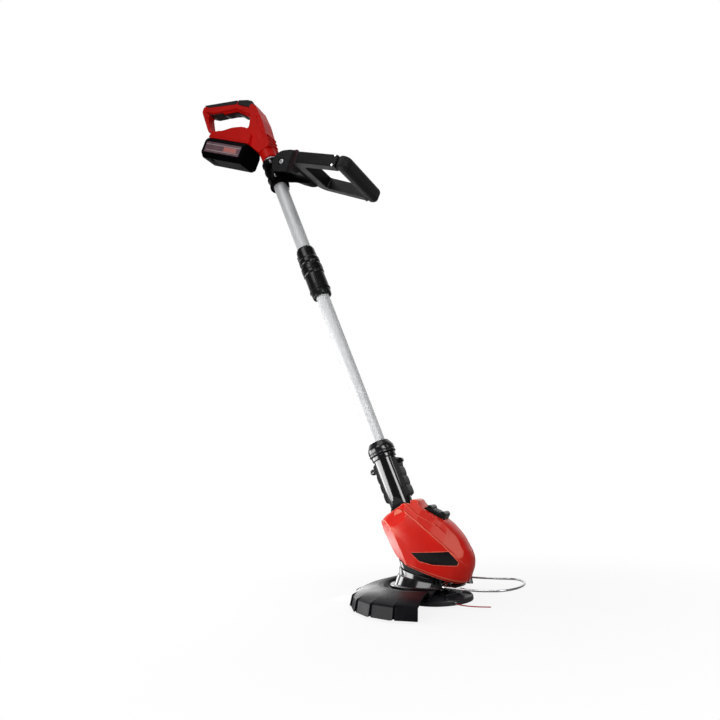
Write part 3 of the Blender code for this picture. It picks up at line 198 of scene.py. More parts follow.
def gloss_plastic(name, colour, rough, coat, painted_edge_highlight=None, tint=(1, 1, 1), level=0.5):
    """Polished moulded plastic: faint flow marks, dust-fine haze and fine scratches; given a colour, a
    painted highlight along its convex edges.
    """
    s = Shader(name)
    flow_marks = s.noise(18, 4, 0.6, s.stretched((1.0, 1.0, 0.35)))
    base = s.mix(s.ramp(flow_marks, 0.3, 0.7, 0.0, 1.0), scaled(colour, 0.9), scaled(colour, 1.1))
    # Painted highlight: convex edges turn paler, towards the given colour
    if painted_edge_highlight:
        base = s.mix(s.edges(0.506, 0.520), base, painted_edge_highlight)
    haze = s.noise(60, 3, 0.7)
    scratches = s.noise(900, 2, 0.5, s.stretched((1.0, 0.08, 0.3), (0.4, 0.3, 0.7)))
    wear = s.math("ADD", s.ramp(haze, 0.35, 0.75, 0.0, 0.06), s.ramp(scratches, 0.62, 0.8, 0.0, 0.08))
    s.bump(s.noise(700, 2), 0.04, 0.00012, s.bump(s.noise(45, 2), 0.05, 0.0006))
    s.set(Base_Color=base, Roughness=s.math("ADD", wear, rough), Specular_IOR_Level=level,
          Specular_Tint=(*tint, 1), Coat_Weight=coat, Coat_Roughness=0.05)
    return s.material


def satin_plastic(name, colour, rough, grain_scale=1400, grain=0.35, depth=0.00008, sheen=0.0, level=0.32):
    """Spark-eroded plastic: fine even grain, patchy gloss, paler rubbed spots."""
    s = Shader(name)
    patches = s.noise(35, 4, 0.65)
    fine = s.noise(grain_scale, 3, 0.6)
    base = s.mix(s.ramp(patches, 0.3, 0.75, 0.0, 1.0), scaled(colour, 0.8), scaled(colour, 1.25))
    base = s.mix(s.ramp(fine, 0.45, 0.8, 0.0, 0.5), base, scaled(colour, 1.9))
    uneven = s.math("ADD", s.ramp(patches, 0.3, 0.7, -0.05, 0.06),
                    s.math("ADD", s.ramp(fine, 0.3, 0.7, -0.04, 0.04), rough))
    s.bump(fine, grain, depth, s.bump(patches, 0.04, 0.0006))
    s.set(Base_Color=base, Roughness=uneven, Specular_IOR_Level=level, Sheen_Weight=sheen,
          Sheen_Roughness=0.5)
    return s.material


def brushed_metal(name, colour, rough, stretch, strength, scale, turn=(0, 0, 0), metal=1.0):
    """Drawn or ground metal, its fine lines along one direction."""
    s = Shader(name)
    lines = s.noise(scale, 3, 0.6, s.stretched(stretch, turn))
    clouds = s.noise(14, 3, 0.6)
    uneven = s.math("ADD", s.ramp(lines, 0.3, 0.7, -0.06, 0.08),
                    s.math("ADD", s.ramp(clouds, 0.3, 0.7, -0.03, 0.05), rough))
    s.bump(lines, strength, 0.00006)
    s.set(Base_Color=s.mix(s.ramp(clouds, 0.3, 0.7, 0.0, 1.0), scaled(colour, 0.93), colour),
          Roughness=uneven, Metallic=metal)
    return s.material


def label_sheet():
    """A bare printed sheet: dull mauve, with a red field and two fine pale rules, and no words."""
    s = Shader("label_sheet")
    to_battery = BATTERY.inverted()
    inside = s.node("Mapping", {"Vector": s.object, "Location": to_battery.to_translation(),
                                "Rotation": to_battery.to_euler()}, vector_type="POINT")
    split = s.node("SeparateXYZ", {"Vector": inside.outputs["Vector"]})
    x, z = split.outputs["X"], split.outputs["Z"]

    def band(place, low, high):
        return s.math("MULTIPLY", s.ramp(place, low, low + 0.0002, 0.0, 1.0),
                      s.ramp(place, high, high + 0.0002, 1.0, 0.0))

    field = s.math("MULTIPLY", band(x, 0.066, 0.104), band(z, 0.0080, 0.0182))
    rules = s.math("MAXIMUM", s.math("MULTIPLY", band(z, 0.0060, 0.0070), band(x, 0.014, 0.109)),
                   band(z, 0.0195, 0.0205))
    worn = s.noise(60, 4, 0.6)
    base = s.mix(s.ramp(worn, 0.3, 0.7, 0.0, 1.0), (0.200, 0.112, 0.138), (0.275, 0.160, 0.186))
    base = s.mix(rules, s.mix(field, base, (0.80, 0.27, 0.25)), (0.82, 0.70, 0.70))
    s.bump(s.noise(500, 2), 0.05, 0.0001)
    s.set(Base_Color=base, Roughness=s.math("ADD", s.ramp(worn, 0.3, 0.8, -0.04, 0.06), 0.30),
          Specular_IOR_Level=0.4)
    return s.material


# The housing's red, with a painted highlight in pale orange red along its convex edges
red = gloss_plastic("red_gloss", (0.67, 0.0115, 0.0075), 0.32, 0.0, (0.92, 0.20, 0.13), (1, 0.88, 0.68),
                    0.40)
# The handle shells' red is the housing's red painted lighter: painted light for the handle, which the lamps
# light less
red_shell_painted_light = gloss_plastic("red_shell_painted_light", (0.84, 0.0090, 0.0070), 0.36, 0.0, None, (1, 0.90, 0.75), 0.14)
line_red = gloss_plastic("line_red", (0.50, 0.012, 0.010), 0.30, 0.2)
cell_wrap = gloss_plastic("cell_wrap", (0.05, 0.16, 0.30), 0.3, 0.3)
black_gloss = gloss_plastic("black_gloss", (0.0055, 0.0055, 0.0065), 0.12, 0.9)
badge_black = gloss_plastic("badge_black", (0.0035, 0.0035, 0.0045), 0.22, 0.0)
cap_black = gloss_plastic("cap_black", (0.0085, 0.0085, 0.0105), 0.20, 0.35)
lock_black = gloss_plastic("lock_black", (0.0040, 0.0040, 0.0052), 0.26, 0.0)
black_satin = satin_plastic("black_satin", (0.0050, 0.0050, 0.0064), 0.40, level=0.26)
black_grip = satin_plastic("black_grip", (0.0080, 0.0080, 0.0095), 0.55, 950, 0.5, 0.00014, 0.03)
battery_black = satin_plastic("battery_black", (0.0036, 0.0036, 0.0050), 0.42, 1300, 0.2, level=0.01)
clamp_black = satin_plastic("clamp_black", (0.0026, 0.0026, 0.0035), 0.34, 1300, 0.25, level=0.04)
spool_black = satin_plastic("spool_black", (0.0240, 0.0240, 0.0275), 0.34, level=0.50)
cable_black = satin_plastic("cable_black", (0.014, 0.014, 0.015), 0.55)
guard_grey = satin_plastic("guard_grey", (0.0046, 0.0046, 0.0064), 0.31, 1300, 0.3, level=0.07)
dark_grey = satin_plastic("dark_grey", (0.03, 0.03, 0.034), 0.4, 1300, 0.3)
tube_metal = brushed_metal("tube_aluminium", (0.84, 0.85, 0.86), 0.52, (1, 1, 0.02), 0.0, 700,
                           (0, math.radians(18), 0), 0.30)
steel = brushed_metal("steel", (0.66, 0.67, 0.69), 0.25, (1, 1, 0.3), 0.12, 800)
wire_steel = brushed_metal("wire_steel", (0.72, 0.73, 0.75), 0.22, (0.2, 0.2, 1), 0.1, 900)
label_look = label_sheet()

# The looks of the CAD nodes that show as they are
NODE_LOOKS = {
    "telescope_collet": black_satin, "switch_body": dark_grey, "terminal_block": dark_grey,
    "upper_cable": cable_black, "lower_cable": cable_black, "battery_cells": cell_wrap,
    "spool_cover": black_gloss, "spool_core": dark_grey, "line_winding": line_red,
}
for name, node in nodes.items():
    for slot in node.material_slots:
        slot.material = NODE_LOOKS.get(name, steel)


def area_light(name, centre, towards, width, height, radiance, spread=180):
    """A soft box of a given radiance on its axis; a lesser spread is a grid before it."""
    data = bpy.data.lights.new(name, "AREA")
    data.shape = "RECTANGLE"
    data.size = width
    data.size_y = height
    data.energy = radiance * width * height * math.pi
    if spread < 180:
        half = math.radians(spread) / 2
        data.spread = 2 * half
        data.energy *= 1 - half / math.tan(half)
    light = add(name, data)
    facing = (Vector(towards) - Vector(centre)).normalized()
    light.visible_camera = False
    light.matrix_world = Matrix.Translation(centre) @ facing.to_track_quat("-Z", "Z").to_matrix().to_4x4()


def make_lights():
    """Boxes stand at an angle from the camera's side, a distance and a height, and face a point."""
    head = Vector((-0.06, 0.0, 0.0))
    to_camera, to_right = Vector((0.394, -0.919, 0.0)), Vector((0.919, 0.394, 0.0))

    def around(degrees, distance, height):
        a = math.radians(degrees)
        flat = head + (to_camera * math.cos(a) + to_right * math.sin(a)) * distance
        return (flat.x, flat.y, height)

    # name, place, aim, width, height, radiance, spread
    for row in (("left_box", around(-74, 0.74, 0.19), (-0.06, 0, 0.19), 0.54, 0.37, 8.0, 120),
                ("rear_box", around(-108, 0.74, 0.19), (-0.06, 0, 0.19), 0.36, 0.37, 8.0, 120),
                ("low_card", (-0.172, 0.052, 0.053), (-0.06, -0.03, 0.07), 0.13, 0.036, 3.2),
                ("front_strip", around(25, 1.2, 0.70), (-0.06, 0, 0.10), 0.86, 0.40, 8.5, 80),
                ("handle_strip", around(62, 1.5, 1.15), (-0.30, 0, 0.94), 0.5, 0.3, 7.0, 70),
                ("key_box", around(-38, 1.7, 1.95), (-0.30, 0, 0.8), 1.0, 1.0, 3.3),
                ("top_box", (-0.25, -0.50, 2.6), (-0.12, 0, 0.3), 1.3, 1.3, 1.3)):
        area_light(*row)


ROOM, BACKDROP = 0.05, 1.0
BACKDROP_WAY = (-0.40, 0.84, 0.36)
WHITE = (1, 1, 1, 1)
FLOOR_SIZE = 14


class Surround(Nodes):
    """The node tree of the world or the floor, built from nothing."""

    def __init__(self, owner):
        super().__init__(owner)
        self.tree.nodes.clear()
        path = self.node("LightPath", {})
        self.seen = self.math("MAXIMUM", path.outputs["Is Camera Ray"], path.outputs["Is Transmission Ray"])

    def eased(self, value, low, high, dark, light):
        return self.ramp(value, low, high, dark, light, interpolation_type="SMOOTHSTEP")

    def end(self, kind, share, first, second):
        """Two shaders, mixed, as what the tree puts out."""
        blend = self.node("MixShader", {"Fac": share, 1: first.outputs[0], 2: second.outputs[0]})
        self.node(kind, {"Surface": blend.outputs[0]})


def make_studio():
    world = bpy.data.worlds.new("studio")
    bpy.context.scene.world = world
    # The camera sees white; for the light, the backdrop is white and the room in front of it dark
    s = Surround(world)
    facing = s.node("VectorMath", {0: s.place("Generated"), 1: BACKDROP_WAY}, operation="DOT_PRODUCT")
    strength = s.eased(facing.outputs["Value"], 0.35, 0.95, ROOM, BACKDROP)
    s.end("OutputWorld", s.seen, s.node("Background", {"Strength": strength, "Color": WHITE}),
          s.node("Background", {"Strength": 1.0, "Color": WHITE}))

    # The floor glows white to the camera beyond the object's shadow
    r = FLOOR_SIZE
    mesh = bpy.data.meshes.new("floor")
    mesh.from_pydata([(-r, -r, 0), (r, -r, 0), (r, r, 0), (-r, r, 0)], [], [(0, 1, 2, 3)])
    floor = add("floor", mesh)
    floor.location.z = -0.0002
    material = bpy.data.materials.new("floor_white")
    s = Surround(material)
    away = s.node("VectorMath", {0: s.place()}, operation="LENGTH").outputs["Value"]
    s.end("OutputMaterial", s.math("MULTIPLY", s.seen, s.eased(away, 0.12, 0.60, 0.86, 1.0)),
          s.node("BsdfDiffuse", {"Color": s.ramp(s.seen, 0.0, 1.0, 0.32, 0.80)}),
          s.node("Emission", {"Strength": 1.0}))
    mesh.materials.append(material)


make_studio()
make_lights()


def circle(radius, count):
    return [(radius * math.cos(2 * math.pi * k / count), radius * math.sin(2 * math.pi * k / count))
            for k in range(count)]


def bridges(rings, count):
    """The faces between rings of equally many points, one ring after the other."""
    return [(i * count + k, i * count + (k + 1) % count, (i + 1) * count + (k + 1) % count,
             (i + 1) * count + k) for i in range(rings - 1) for k in range(count)]


def capped(rings, count):
    ends = [tuple(reversed(range(count))), tuple(range((rings - 1) * count, rings * count))]
    return bridges(rings, count) + ends


def spline_points(points, count):
    """Evenly spaced points on a smooth curve through the given ones, and its length."""
    given = [Vector(p) for p in points]
    ends = [2 * given[0] - given[1]] + given + [2 * given[-1] - given[-2]]
    fine = []
    for i in range(1, len(ends) - 2):
        a, b, c, d = ends[i - 1:i + 3]
        for step in range(24):
            t = step / 24
            fine.append(0.5 * (2 * b + (c - a) * t + (2 * a - 5 * b + 4 * c - d) * t * t
                               + (3 * b - a - 3 * c + d) * t ** 3))
    fine.append(given[-1])
    lengths = [0.0]
    for p, q in zip(fine, fine[1:]):
        lengths.append(lengths[-1] + (q - p).length)
    found = []
    here = 0
    for i in range(count):
        want = lengths[-1] * i / (count - 1)
        while here < len(lengths) - 2 and lengths[here + 1] < want:
            here += 1
        share = (want - lengths[here]) / max(lengths[here + 1] - lengths[here], 1e-9)
        found.append(fine[here].lerp(fine[here + 1], min(share, 1.0)))
    return found, lengths[-1]


def tube_mesh(points, radius, sides=12):
    """Rings along a line of points, with a frame carried from one to the next."""
    verts = []
    side = (points[1] - points[0]).normalized().orthogonal().normalized()
    for i, point in enumerate(points):
        along = (points[min(i + 1, len(points) - 1)] - points[max(i - 1, 0)]).normalized()
        side = (side - along * side.dot(along)).normalized()
        other = along.cross(side)
        verts += [point + side * c + other * s for c, s in circle(radius, sides)]
    return verts, capped(len(points), sides)


# The cutting line, in metres: it leaves its eyelet at EYELET_TURN degrees round the head
LINE_R = 0.0008
EYELET_TURN = -46
EYELET = Vector((math.cos(math.radians(EYELET_TURN)), math.sin(math.radians(EYELET_TURN)), 0))
LINE_EXIT = EYELET * 0.0505 + Vector((0, 0, 0.0052))
LINE_ROUTE = [tuple(LINE_EXIT), tuple(LINE_EXIT + EYELET * 0.005), (0.0480, -0.0450, 0.0050),
              (0.0600, -0.0478, 0.0047), (0.0740, -0.0484, 0.0045), (0.0880, -0.0478, 0.0045)]


def make_cord():
    points, length = spline_points(LINE_ROUTE, 33)
    verts, faces = tube_mesh(points, LINE_R, 14)
    mesh = bpy.data.meshes.new("trimmer_line")
    mesh.from_pydata([tuple(v) for v in verts], [], faces)
    mesh.materials.append(line_red)
    mesh.shade_smooth()
    line = add("trimmer_line", mesh)
    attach(line, "spool")
    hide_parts("cutting_line")


make_cord()


def raw(name, verts, faces, matrix=WORLD):
    """A closed mesh, from points in millimetres, that isn't a piece of the model yet."""
    mesh = bpy.data.meshes.new(name)
    mesh.from_pydata([tuple(matrix @ Vector([c / 1000 for c in v])) for v in verts], [], faces)
    work = bmesh.new()
    work.from_mesh(mesh)
    bmesh.ops.remove_doubles(work, verts=work.verts, dist=1e-7)
    bmesh.ops.recalc_face_normals(work, faces=work.faces)
    work.to_mesh(mesh)
    work.free()
    return add(name, mesh)


def bake(obj):
    """Applies an object's modifiers to its mesh."""
    graph = bpy.context.evaluated_depsgraph_get()
    mesh = bpy.data.meshes.new_from_object(obj.evaluated_get(graph), depsgraph=graph)
    old = obj.data
    obj.modifiers.clear()
    obj.data = mesh
    bpy.data.meshes.remove(old)
    return obj


def bevel(obj, width, segments=3, angle=35):
    made = obj.modifiers.new("bevel", "BEVEL")
    made.width = width / 1000
    made.segments = segments
    made.limit_method = "ANGLE"
    made.angle_limit = math.radians(angle)
    made.use_clamp_overlap = True
    return bake(obj)


def boolean(obj, kind, others):
    for other in others:
        made = obj.modifiers.new("boolean", "BOOLEAN")
        made.solver = "EXACT"
        made.operation = kind
        made.object = other
        bake(obj)
        bpy.data.objects.remove(other)
    return obj


def cut(obj, *others):
    return boolean(obj, "DIFFERENCE", others)


def join(obj, *others):
    return boolean(obj, "UNION", others)


def keep(obj, *others):
    return boolean(obj, "INTERSECT", others)


def loft(name, rings, matrix=WORLD):
    """Rings of equally many points, joined and capped."""
    verts = [p for ring in rings for p in ring]
    return raw(name, verts, capped(len(rings), len(rings[0])), matrix)


def lathe(name, profile, matrix=WORLD, steps=96):
    """A closed outline of (radius, height) turned about the frame's Z."""
    verts, faces = [], []
    count = len(profile)
    for i in range(steps):
        a = 2 * math.pi * (i + 0.5) / steps
        verts += [(r * math.cos(a), r * math.sin(a), z) for r, z in profile]
        ahead = (i + 1) % steps
        for k in range(count):
            n = (k + 1) % count
            if max(profile[k][0], profile[n][0]) > 1e-6:
                faces.append((i * count + k, ahead * count + k, ahead * count + n, i * count + n))
    # Points on the axis come once for every step: each is kept once, and its faces lose a corner
    keys = [tuple(round(c, 5) for c in v) for v in verts]
    first = {}
    for key, v in zip(keys, verts):
        first.setdefault(key, v)
    order = {key: i for i, key in enumerate(first)}
    rings = [list(dict.fromkeys(order[keys[i]] for i in face)) for face in faces]
    return raw(name, list(first.values()), [tuple(ring) for ring in rings if len(ring) > 2], matrix)


def prism(name, outline, low, high, matrix=WORLD, soften=0, segments=3):
    """An outline in the frame's XZ plane, given thickness along Y."""
    made = loft(name, [[(x, y, z) for x, z in outline] for y in (low, high)], matrix)
    return bevel(made, soften, segments) if soften else made


def box(name, low, high, matrix=WORLD, soften=0, segments=3):
    outline = ((low[0], low[2]), (high[0], low[2]), (high[0], high[2]), (low[0], high[2]))
    return prism(name, outline, *sorted((low[1], high[1])), matrix, soften, segments)


def rod(name, radius, start, end, matrix=WORLD, sides=48, soften=0):
    a, b = Vector(start), Vector(end)
    along = (b - a).normalized()
    side = along.orthogonal().normalized()
    other = along.cross(side)
    made = loft(name, [[centre + side * c + other * s for c, s in circle(radius, sides)]
                       for centre in (a, b)], matrix)
    return bevel(made, soften, 3, 50) if soften else made


def pin(name, radius, x, y, z, matrix=WORLD, sides=48, soften=0):
    """A rod across the middle plane, as far on one side as on the other."""
    return rod(name, radius, (x, -y, z), (x, y, z), matrix, sides, soften)


def arc(centre, radius, start, end, count):
    angles = [math.radians(start + (end - start) * i / (count - 1)) for i in range(count)]
    return [(centre[0] + radius * math.cos(a), centre[1] + radius * math.sin(a)) for a in angles]


def rounded(points, radius, steps=5):
    """A closed outline with a small curve at each corner."""
    found = []
    count = len(points)
    for i, point in enumerate(points):
        here, before, after = Vector(point), Vector(points[i - 1]), Vector(points[(i + 1) % count])
        a = here + (before - here).normalized() * min(radius, (before - here).length * 0.45)
        b = here + (after - here).normalized() * min(radius, (after - here).length * 0.45)
        for k in range(steps + 1):
            t = k / steps
            found.append(tuple(a * (1 - t) ** 2 + here * 2 * t * (1 - t) + b * t * t))
    return found


def both_sides(half, across=1):
    """A closed outline from its half, mirrored in one of its coordinates."""
    return list(half) + [(x, -y) if across else (-x, y) for x, y in reversed(half)]


def piece(obj, look, body, *stands_for, angle=38):
    """Makes an object a piece of the model, smooth but for its sharp edges."""
    mesh = obj.data
    mesh.materials.clear()
    mesh.materials.append(look)
    mesh.polygons.foreach_set("material_index", [0] * len(mesh.polygons))
    mesh.polygons.foreach_set("use_smooth", [True] * len(mesh.polygons))
    mesh.set_sharp_from_angle(angle=math.radians(angle))
    obj.modifiers.new("even", "WEIGHTED_NORMAL").keep_sharp = True
    bake(obj)
    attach(obj, body)
    if stands_for:
        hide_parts(*stands_for)
    return obj


# Shared fits: a clear hole for a pin or shaft, the bore for the lower tube, and the gap left at a seam
PIN_HOLE = 3.3
TUBE_BORE = 12.8
SEAM = 0.15

# The front handle's arm: its width, and its middle line's ends as (distance from the pivot, half width)
ARM = 18
ARM_REAR, ARM_FRONT = (72, 52), (183, 66)
HANDLE_DEEP = 11.5
HOOD_SIDE = ((-17.5, 16.5), (-6, 23.5), (4.5, 25.5), (13, 27.5), (30, 27.5), (44, 24.5), (57.5, 10),
             (57.5, -11), (48, -18), (30, -20), (15, -19.5), (-6, -23.5), (-17.5, -16.5), (-24.3, 0))
HOOD_PLAN = ((-26, 24), (24, 25.2), (46, 38.5), (58.5, 47))


def make_front_handle():
    """The yoke with its hood, two arms and a crossbar grip."""
    half = ARM / 2
    (rear_x, rear_y), (front_x, front_y) = ARM_REAR, ARM_FRONT
    slant = (front_y - rear_y) / (front_x - rear_x)
    edge = front_x - half - 3.3
    out = rear_y + slant * (edge - rear_x) + half
    plan = both_sides([(14.5, 13.5), (-10, 13.5), (-8.5, 20), (-6, 23.6), (16, 23.6), (24, 24.8),
                       (46, 36.2), (61, rear_y + half - 4), (rear_x, rear_y + half + 0.5), (edge, out)])
    yoke = prism("yoke", rounded(plan, 4), -HANDLE_DEEP, HANDLE_DEEP, LIE, 2.8, 4)
    opening = both_sides([(rear_x + half, rear_y - half + slant * half), (edge + 40, out - ARM + 4.5)])
    cut(yoke, prism("opening", rounded(opening, 5), -50, 50, LIE))
    hood = prism("hood", both_sides(HOOD_PLAN), -30, 30, LIE, 2)
    keep(hood, prism("hood_side", rounded(HOOD_SIDE, 6), -80, 80, LOOP))
    cut(hood, box("clamp_room", (-40, -20.3, -40), (9.8, 20.3, 40), LOOP),
        box("roof_room", (9, -21.3, 11.2), (41, 21.3, 24.7), LOOP),
        box("floor_room", (9, -21.3, -40), (53.5, 21.3, -11.2), LOOP))
    join(yoke, bevel(hood, 1.2, 3, 50))
    cut(yoke, box("lug_room", (-30, -12.3, -30), (14.5, 12.3, 11.2), LOOP),
        pin("pivot_hole", PIN_HOLE, 0, 50, 0, LOOP),
        rod("bolt_seat", 7.5, (0, -50, 0), (0, -20.6, 0), LOOP),
        rod("knob_seat", 13.8, (0, 20.6, 0), (0, 50, 0), LOOP, 64))
    piece(yoke, black_satin, "front_handle", "front_handle_frame")
    for i in range(4):
        rib = pin(f"hood_rib_{i}", 0.9, 16 + 6.5 * i, 16.5, 27.6, LOOP, 12, 0.3)
        piece(rib, black_satin, "front_handle")
    curve = 16.5
    end = arc((front_x + half + 4.5 - curve, out + 1 - curve), curve, 90, 6, 8)
    grip = prism("grip", both_sides([(edge + 0.3, out + 1)] + end), -HANDLE_DEEP - 2.2, HANDLE_DEEP + 2.2,
                 LIE, 9.2, 8)
    for side in (-1, 1):
        for up in (9.5, -9.5):
            spot = Vector((edge - 6, up, side * (out - 1.2)))
            bolt = rod("arm_bolt", 2.7, spot, spot + Vector((0, 0, 2 * side)), LIE, 24, 0.6)
            piece(bolt, steel, "front_handle")
    piece(grip, black_grip, "front_handle", "front_grip", angle=50)


# The housing's sections: height over the rim, rear end, front end and half width
SECTIONS = (
    (0, -2, 108.5, 35.5), (4, -7.5, 114.5, 38), (11, -15, 117, 40), (21, -24, 118, 41.5),
    (32, -33.5, 116, 42), (42, -38.5, 110.5, 41.5), (47.5, -40.5, 105.5, 40.8), (58.8, -36, 95.5, 38),
    (67.5, -28.5, 84, 35), (76, -20.5, 69, 31.5), (82, -14, 48, 29.5), (88, -8, 28, 28), (96, -2, 16.5, 26))
HOUSING_HEIGHT = SECTIONS[-1][0]
HOUSING_POWER = 2.5
# How far the housing's rim falls towards its front, and the height of the mouth that the pole enters
RIM_DROOP = 0.06
MOUTH_HEIGHT = 13
# Lines along the side as (x, height), and the crease's half width
CREASE = ((-40, 88), (-0.1, 77), (26.5, 67.9), (51.9, 56.8), (75.1, 45.9), (94.1, 35.2), (101, 31),
          (130, 12))
CREASE_HALF = ((-40, 20), (-0.1, 28.3), (26.5, 35.2), (51.9, 38), (75.1, 36.9), (94.1, 33), (130, 26))
SHOULDER = ((-40, 100), (3.6, 84.3), (25, 76.2), (52.9, 70), (66.7, 64.2), (80, 57), (130, 20))


def along(table, x):
    """The value that a table of (x, value) has at x, on straight lines between its rows."""
    for low, high in zip(table, table[1:]):
        if x <= high[0]:
            break
    share = min(max((x - low[0]) / (high[0] - low[0]), 0.0), 1.0)
    return low[1] + share * (high[1] - low[1])


def eased(table, x, column):
    """The value that one column of a table has at x, on a smooth curve through its rows."""
    last = len(table) - 1
    i = 0
    while i < last - 1 and x > table[i + 1][0]:
        i += 1

    def tangent(k):
        a, b = table[max(k - 1, 0)], table[min(k + 1, last)]
        return (b[column] - a[column]) / (b[0] - a[0])

    low, high = table[i], table[i + 1]
    step = high[0] - low[0]
    t = min(max((x - low[0]) / step, 0.0), 1.0)
    return ((2 * t ** 3 - 3 * t * t + 1) * low[column] + (t ** 3 - 2 * t * t + t) * step * tangent(i)
            + (3 * t * t - 2 * t ** 3) * high[column] + (t ** 3 - t * t) * step * tangent(i + 1))


def ramp(value, low, high):
    """0 below low and 1 above high, with a smooth rise between."""
    t = min(max((value - low) / (high - low), 0.0), 1.0)
    return t * t * (3 - 2 * t)


def lesser(a, b, blend):
    """The smaller of two numbers, with the corner between them rounded."""
    h = max(blend - abs(a - b), 0.0) / blend
    return min(a, b) - h * h * blend / 4


def oval(angle, power):
    """A point on a rounded square that reaches 1 each way."""
    c, s = math.cos(angle), math.sin(angle)
    scale = (abs(c) ** power + abs(s) ** power) ** (-1 / power)
    return c * scale, s * scale


def faceted(x, z, y):
    """The housing's half width at a point, brought in by its facets, crease and steps."""
    lower = (x + 4.6) * -0.76 + (z - 39.6) * -0.651
    y = lesser(y, 38 - 1.20 * lower, 0.4)
    middle = (x + 11) * -0.622 + (z - 48.1) * -0.783
    y = lesser(y, 39 - 0.35 * middle, 0.5)
    up = (x + 12.5) * 0.648 + (z - 49.7) * 0.762
    beyond = (x + 12.5) * -0.762 + (z - 49.7) * 0.648
    y = lesser(y, 34.4 - 0.10 * up - 0.60 * beyond, 0.4)
    if y > 12:
        y -= 0.45 * max(0.0, 1 - abs(beyond) / 0.9) * ramp(y, 12, 20)
    above = z - along(CREASE, x)
    y = lesser(y, along(CREASE_HALF, x) - ramp(above, -0.2, 0.5) - 0.60 * above, 0.2)
    if y > 12:
        y += 0.25 * max(0.0, 1 - abs(above + 0.4) / 0.7) * ramp(y, 12, 20)
    over = z - along(SHOULDER, x)
    y -= 1.1 * ramp(over, 0.0, 0.8) * ramp(y, 3, 9) * (1 - ramp(x, 62, 78))
    y -= 0.6 * (1 - ramp(z, 2.2, 3.2)) * ramp(y, 2, 6)
    return max(y, 0.0)


def section(height):
    """The housing's middle, half length and half width at a height over its rim."""
    rear, front, half = (eased(SECTIONS, height, column) for column in (1, 2, 3))
    return (front + rear) / 2, (front - rear) / 2, half


def half_body(name, rows, count, inset_x=0, inset_y=0):
    """The left half of the housing, or of its hollow, as a closed body: rows of (height, drop)."""
    verts = []
    for height, drop in rows:
        centre, reach, half = section(height)
        fade = 1 - ramp(height, 0, 14)
        for i in range(count + 1):
            c, s = oval(math.pi * i / count, HOUSING_POWER)
            x, y = centre + (reach - inset_x) * c, (half - inset_y) * s
            if inset_x:
                y = min(y, faceted(x - 2 if x < centre else x, height, y + inset_y) - 3.4)
            else:
                y = faceted(x, height, y)
            verts.append((x, max(y, SEAM), height - RIM_DROOP * x * fade - drop))
    wide, last = count + 1, len(rows) - 1
    faces = [(i * wide + k, i * wide + k + 1, (i + 1) * wide + k + 1, (i + 1) * wide + k)
             for i in range(last) for k in range(count)]
    faces.append(tuple(range(wide)))
    faces.append(tuple(last * wide + k for k in range(wide)))
    faces.append(tuple([i * wide for i in range(last + 1)]
                       + [i * wide + count for i in reversed(range(last + 1))]))
    return raw(name, verts, faces, RIM)


def swing_room():
    """The room that the sleeve's lower end sweeps as the head tilts by 45 degrees."""
    reach, out, far = 19.8, 25.7, 85
    lean = Vector((-math.sin(math.radians(45)), math.cos(math.radians(45))))
    side = Vector((-lean.y, lean.x))
    outline = [(out - 3, far), (out - 3, 14)] + arc((0, 0), reach, 0, -135, 28)
    outline += [tuple(lean * up + side * across) for up, across in ((14, reach), (18, out), (far, out))]
    return prism("swing_room", outline + [(-75, far)], -reach, reach, POLE)


def mirrored_copy(obj, name):
    """A copy of an object on the other side of the middle plane."""
    made = add(name, obj.data.copy())
    made.data.transform(Matrix.Scale(-1, 4, (0, 1, 0)))
    made.data.flip_normals()
    return made


def housing_width(x, z):
    """The housing's half width over a point of the middle plane, in world coordinates."""
    x, _, z = (c * 1000 for c in RIM.inverted() @ Vector((x / 1000, 0, z / 1000)))
    centre, reach, half = section(z)
    share = max(1 - (abs(x - centre) / reach) ** HOUSING_POWER, 0.0)
    return faceted(x, z, half * share ** (1 / HOUSING_POWER))


BADGE_TOP = ((-27, 77), (31, 76.6), (42.5, 61.3))
BADGE_BOTTOM = ((-27, 77), (-14.5, 64.7), (6.6, 59.5), (40.5, 56.8), (42.5, 61.3))


def badge_body(name, grow, depth, proud):
    """A sheet that follows the housing's right side inside the badge's outline."""
    columns, rows = 56, 14
    start, length = BADGE_TOP[0][0], BADGE_TOP[-1][0] - BADGE_TOP[0][0]
    outer, inner = [], []
    for i in range(columns + 1):
        x = start + length * i / columns
        top, bottom = along(BADGE_TOP, x) + grow, along(BADGE_BOTTOM, x) - grow
        wider = x + grow * (2 * i / columns - 1)
        for k in range(rows + 1):
            z = bottom + (top - bottom) * k / rows
            width = housing_width(x, z)
            outer.append((wider, -width - proud, z))
            inner.append((wider, -width + depth, z))
    wide, size = rows + 1, len(outer)
    faces = []
    for a in (i * wide + k for i in range(columns) for k in range(rows)):
        faces.append((a, a + 1, a + wide + 1, a + wide))
        faces.append((size + a, size + a + wide, size + a + wide + 1, size + a + 1))
    border = list(range(wide)) + [i * wide + rows for i in range(1, columns + 1)]
    border += [columns * wide + k for k in reversed(range(rows))]
    border += [i * wide for i in reversed(range(1, columns))]
    faces += [(a, b, size + b, size + a) for a, b in zip(border, border[1:] + border[:1])]
    return raw(name, outer + inner, faces)


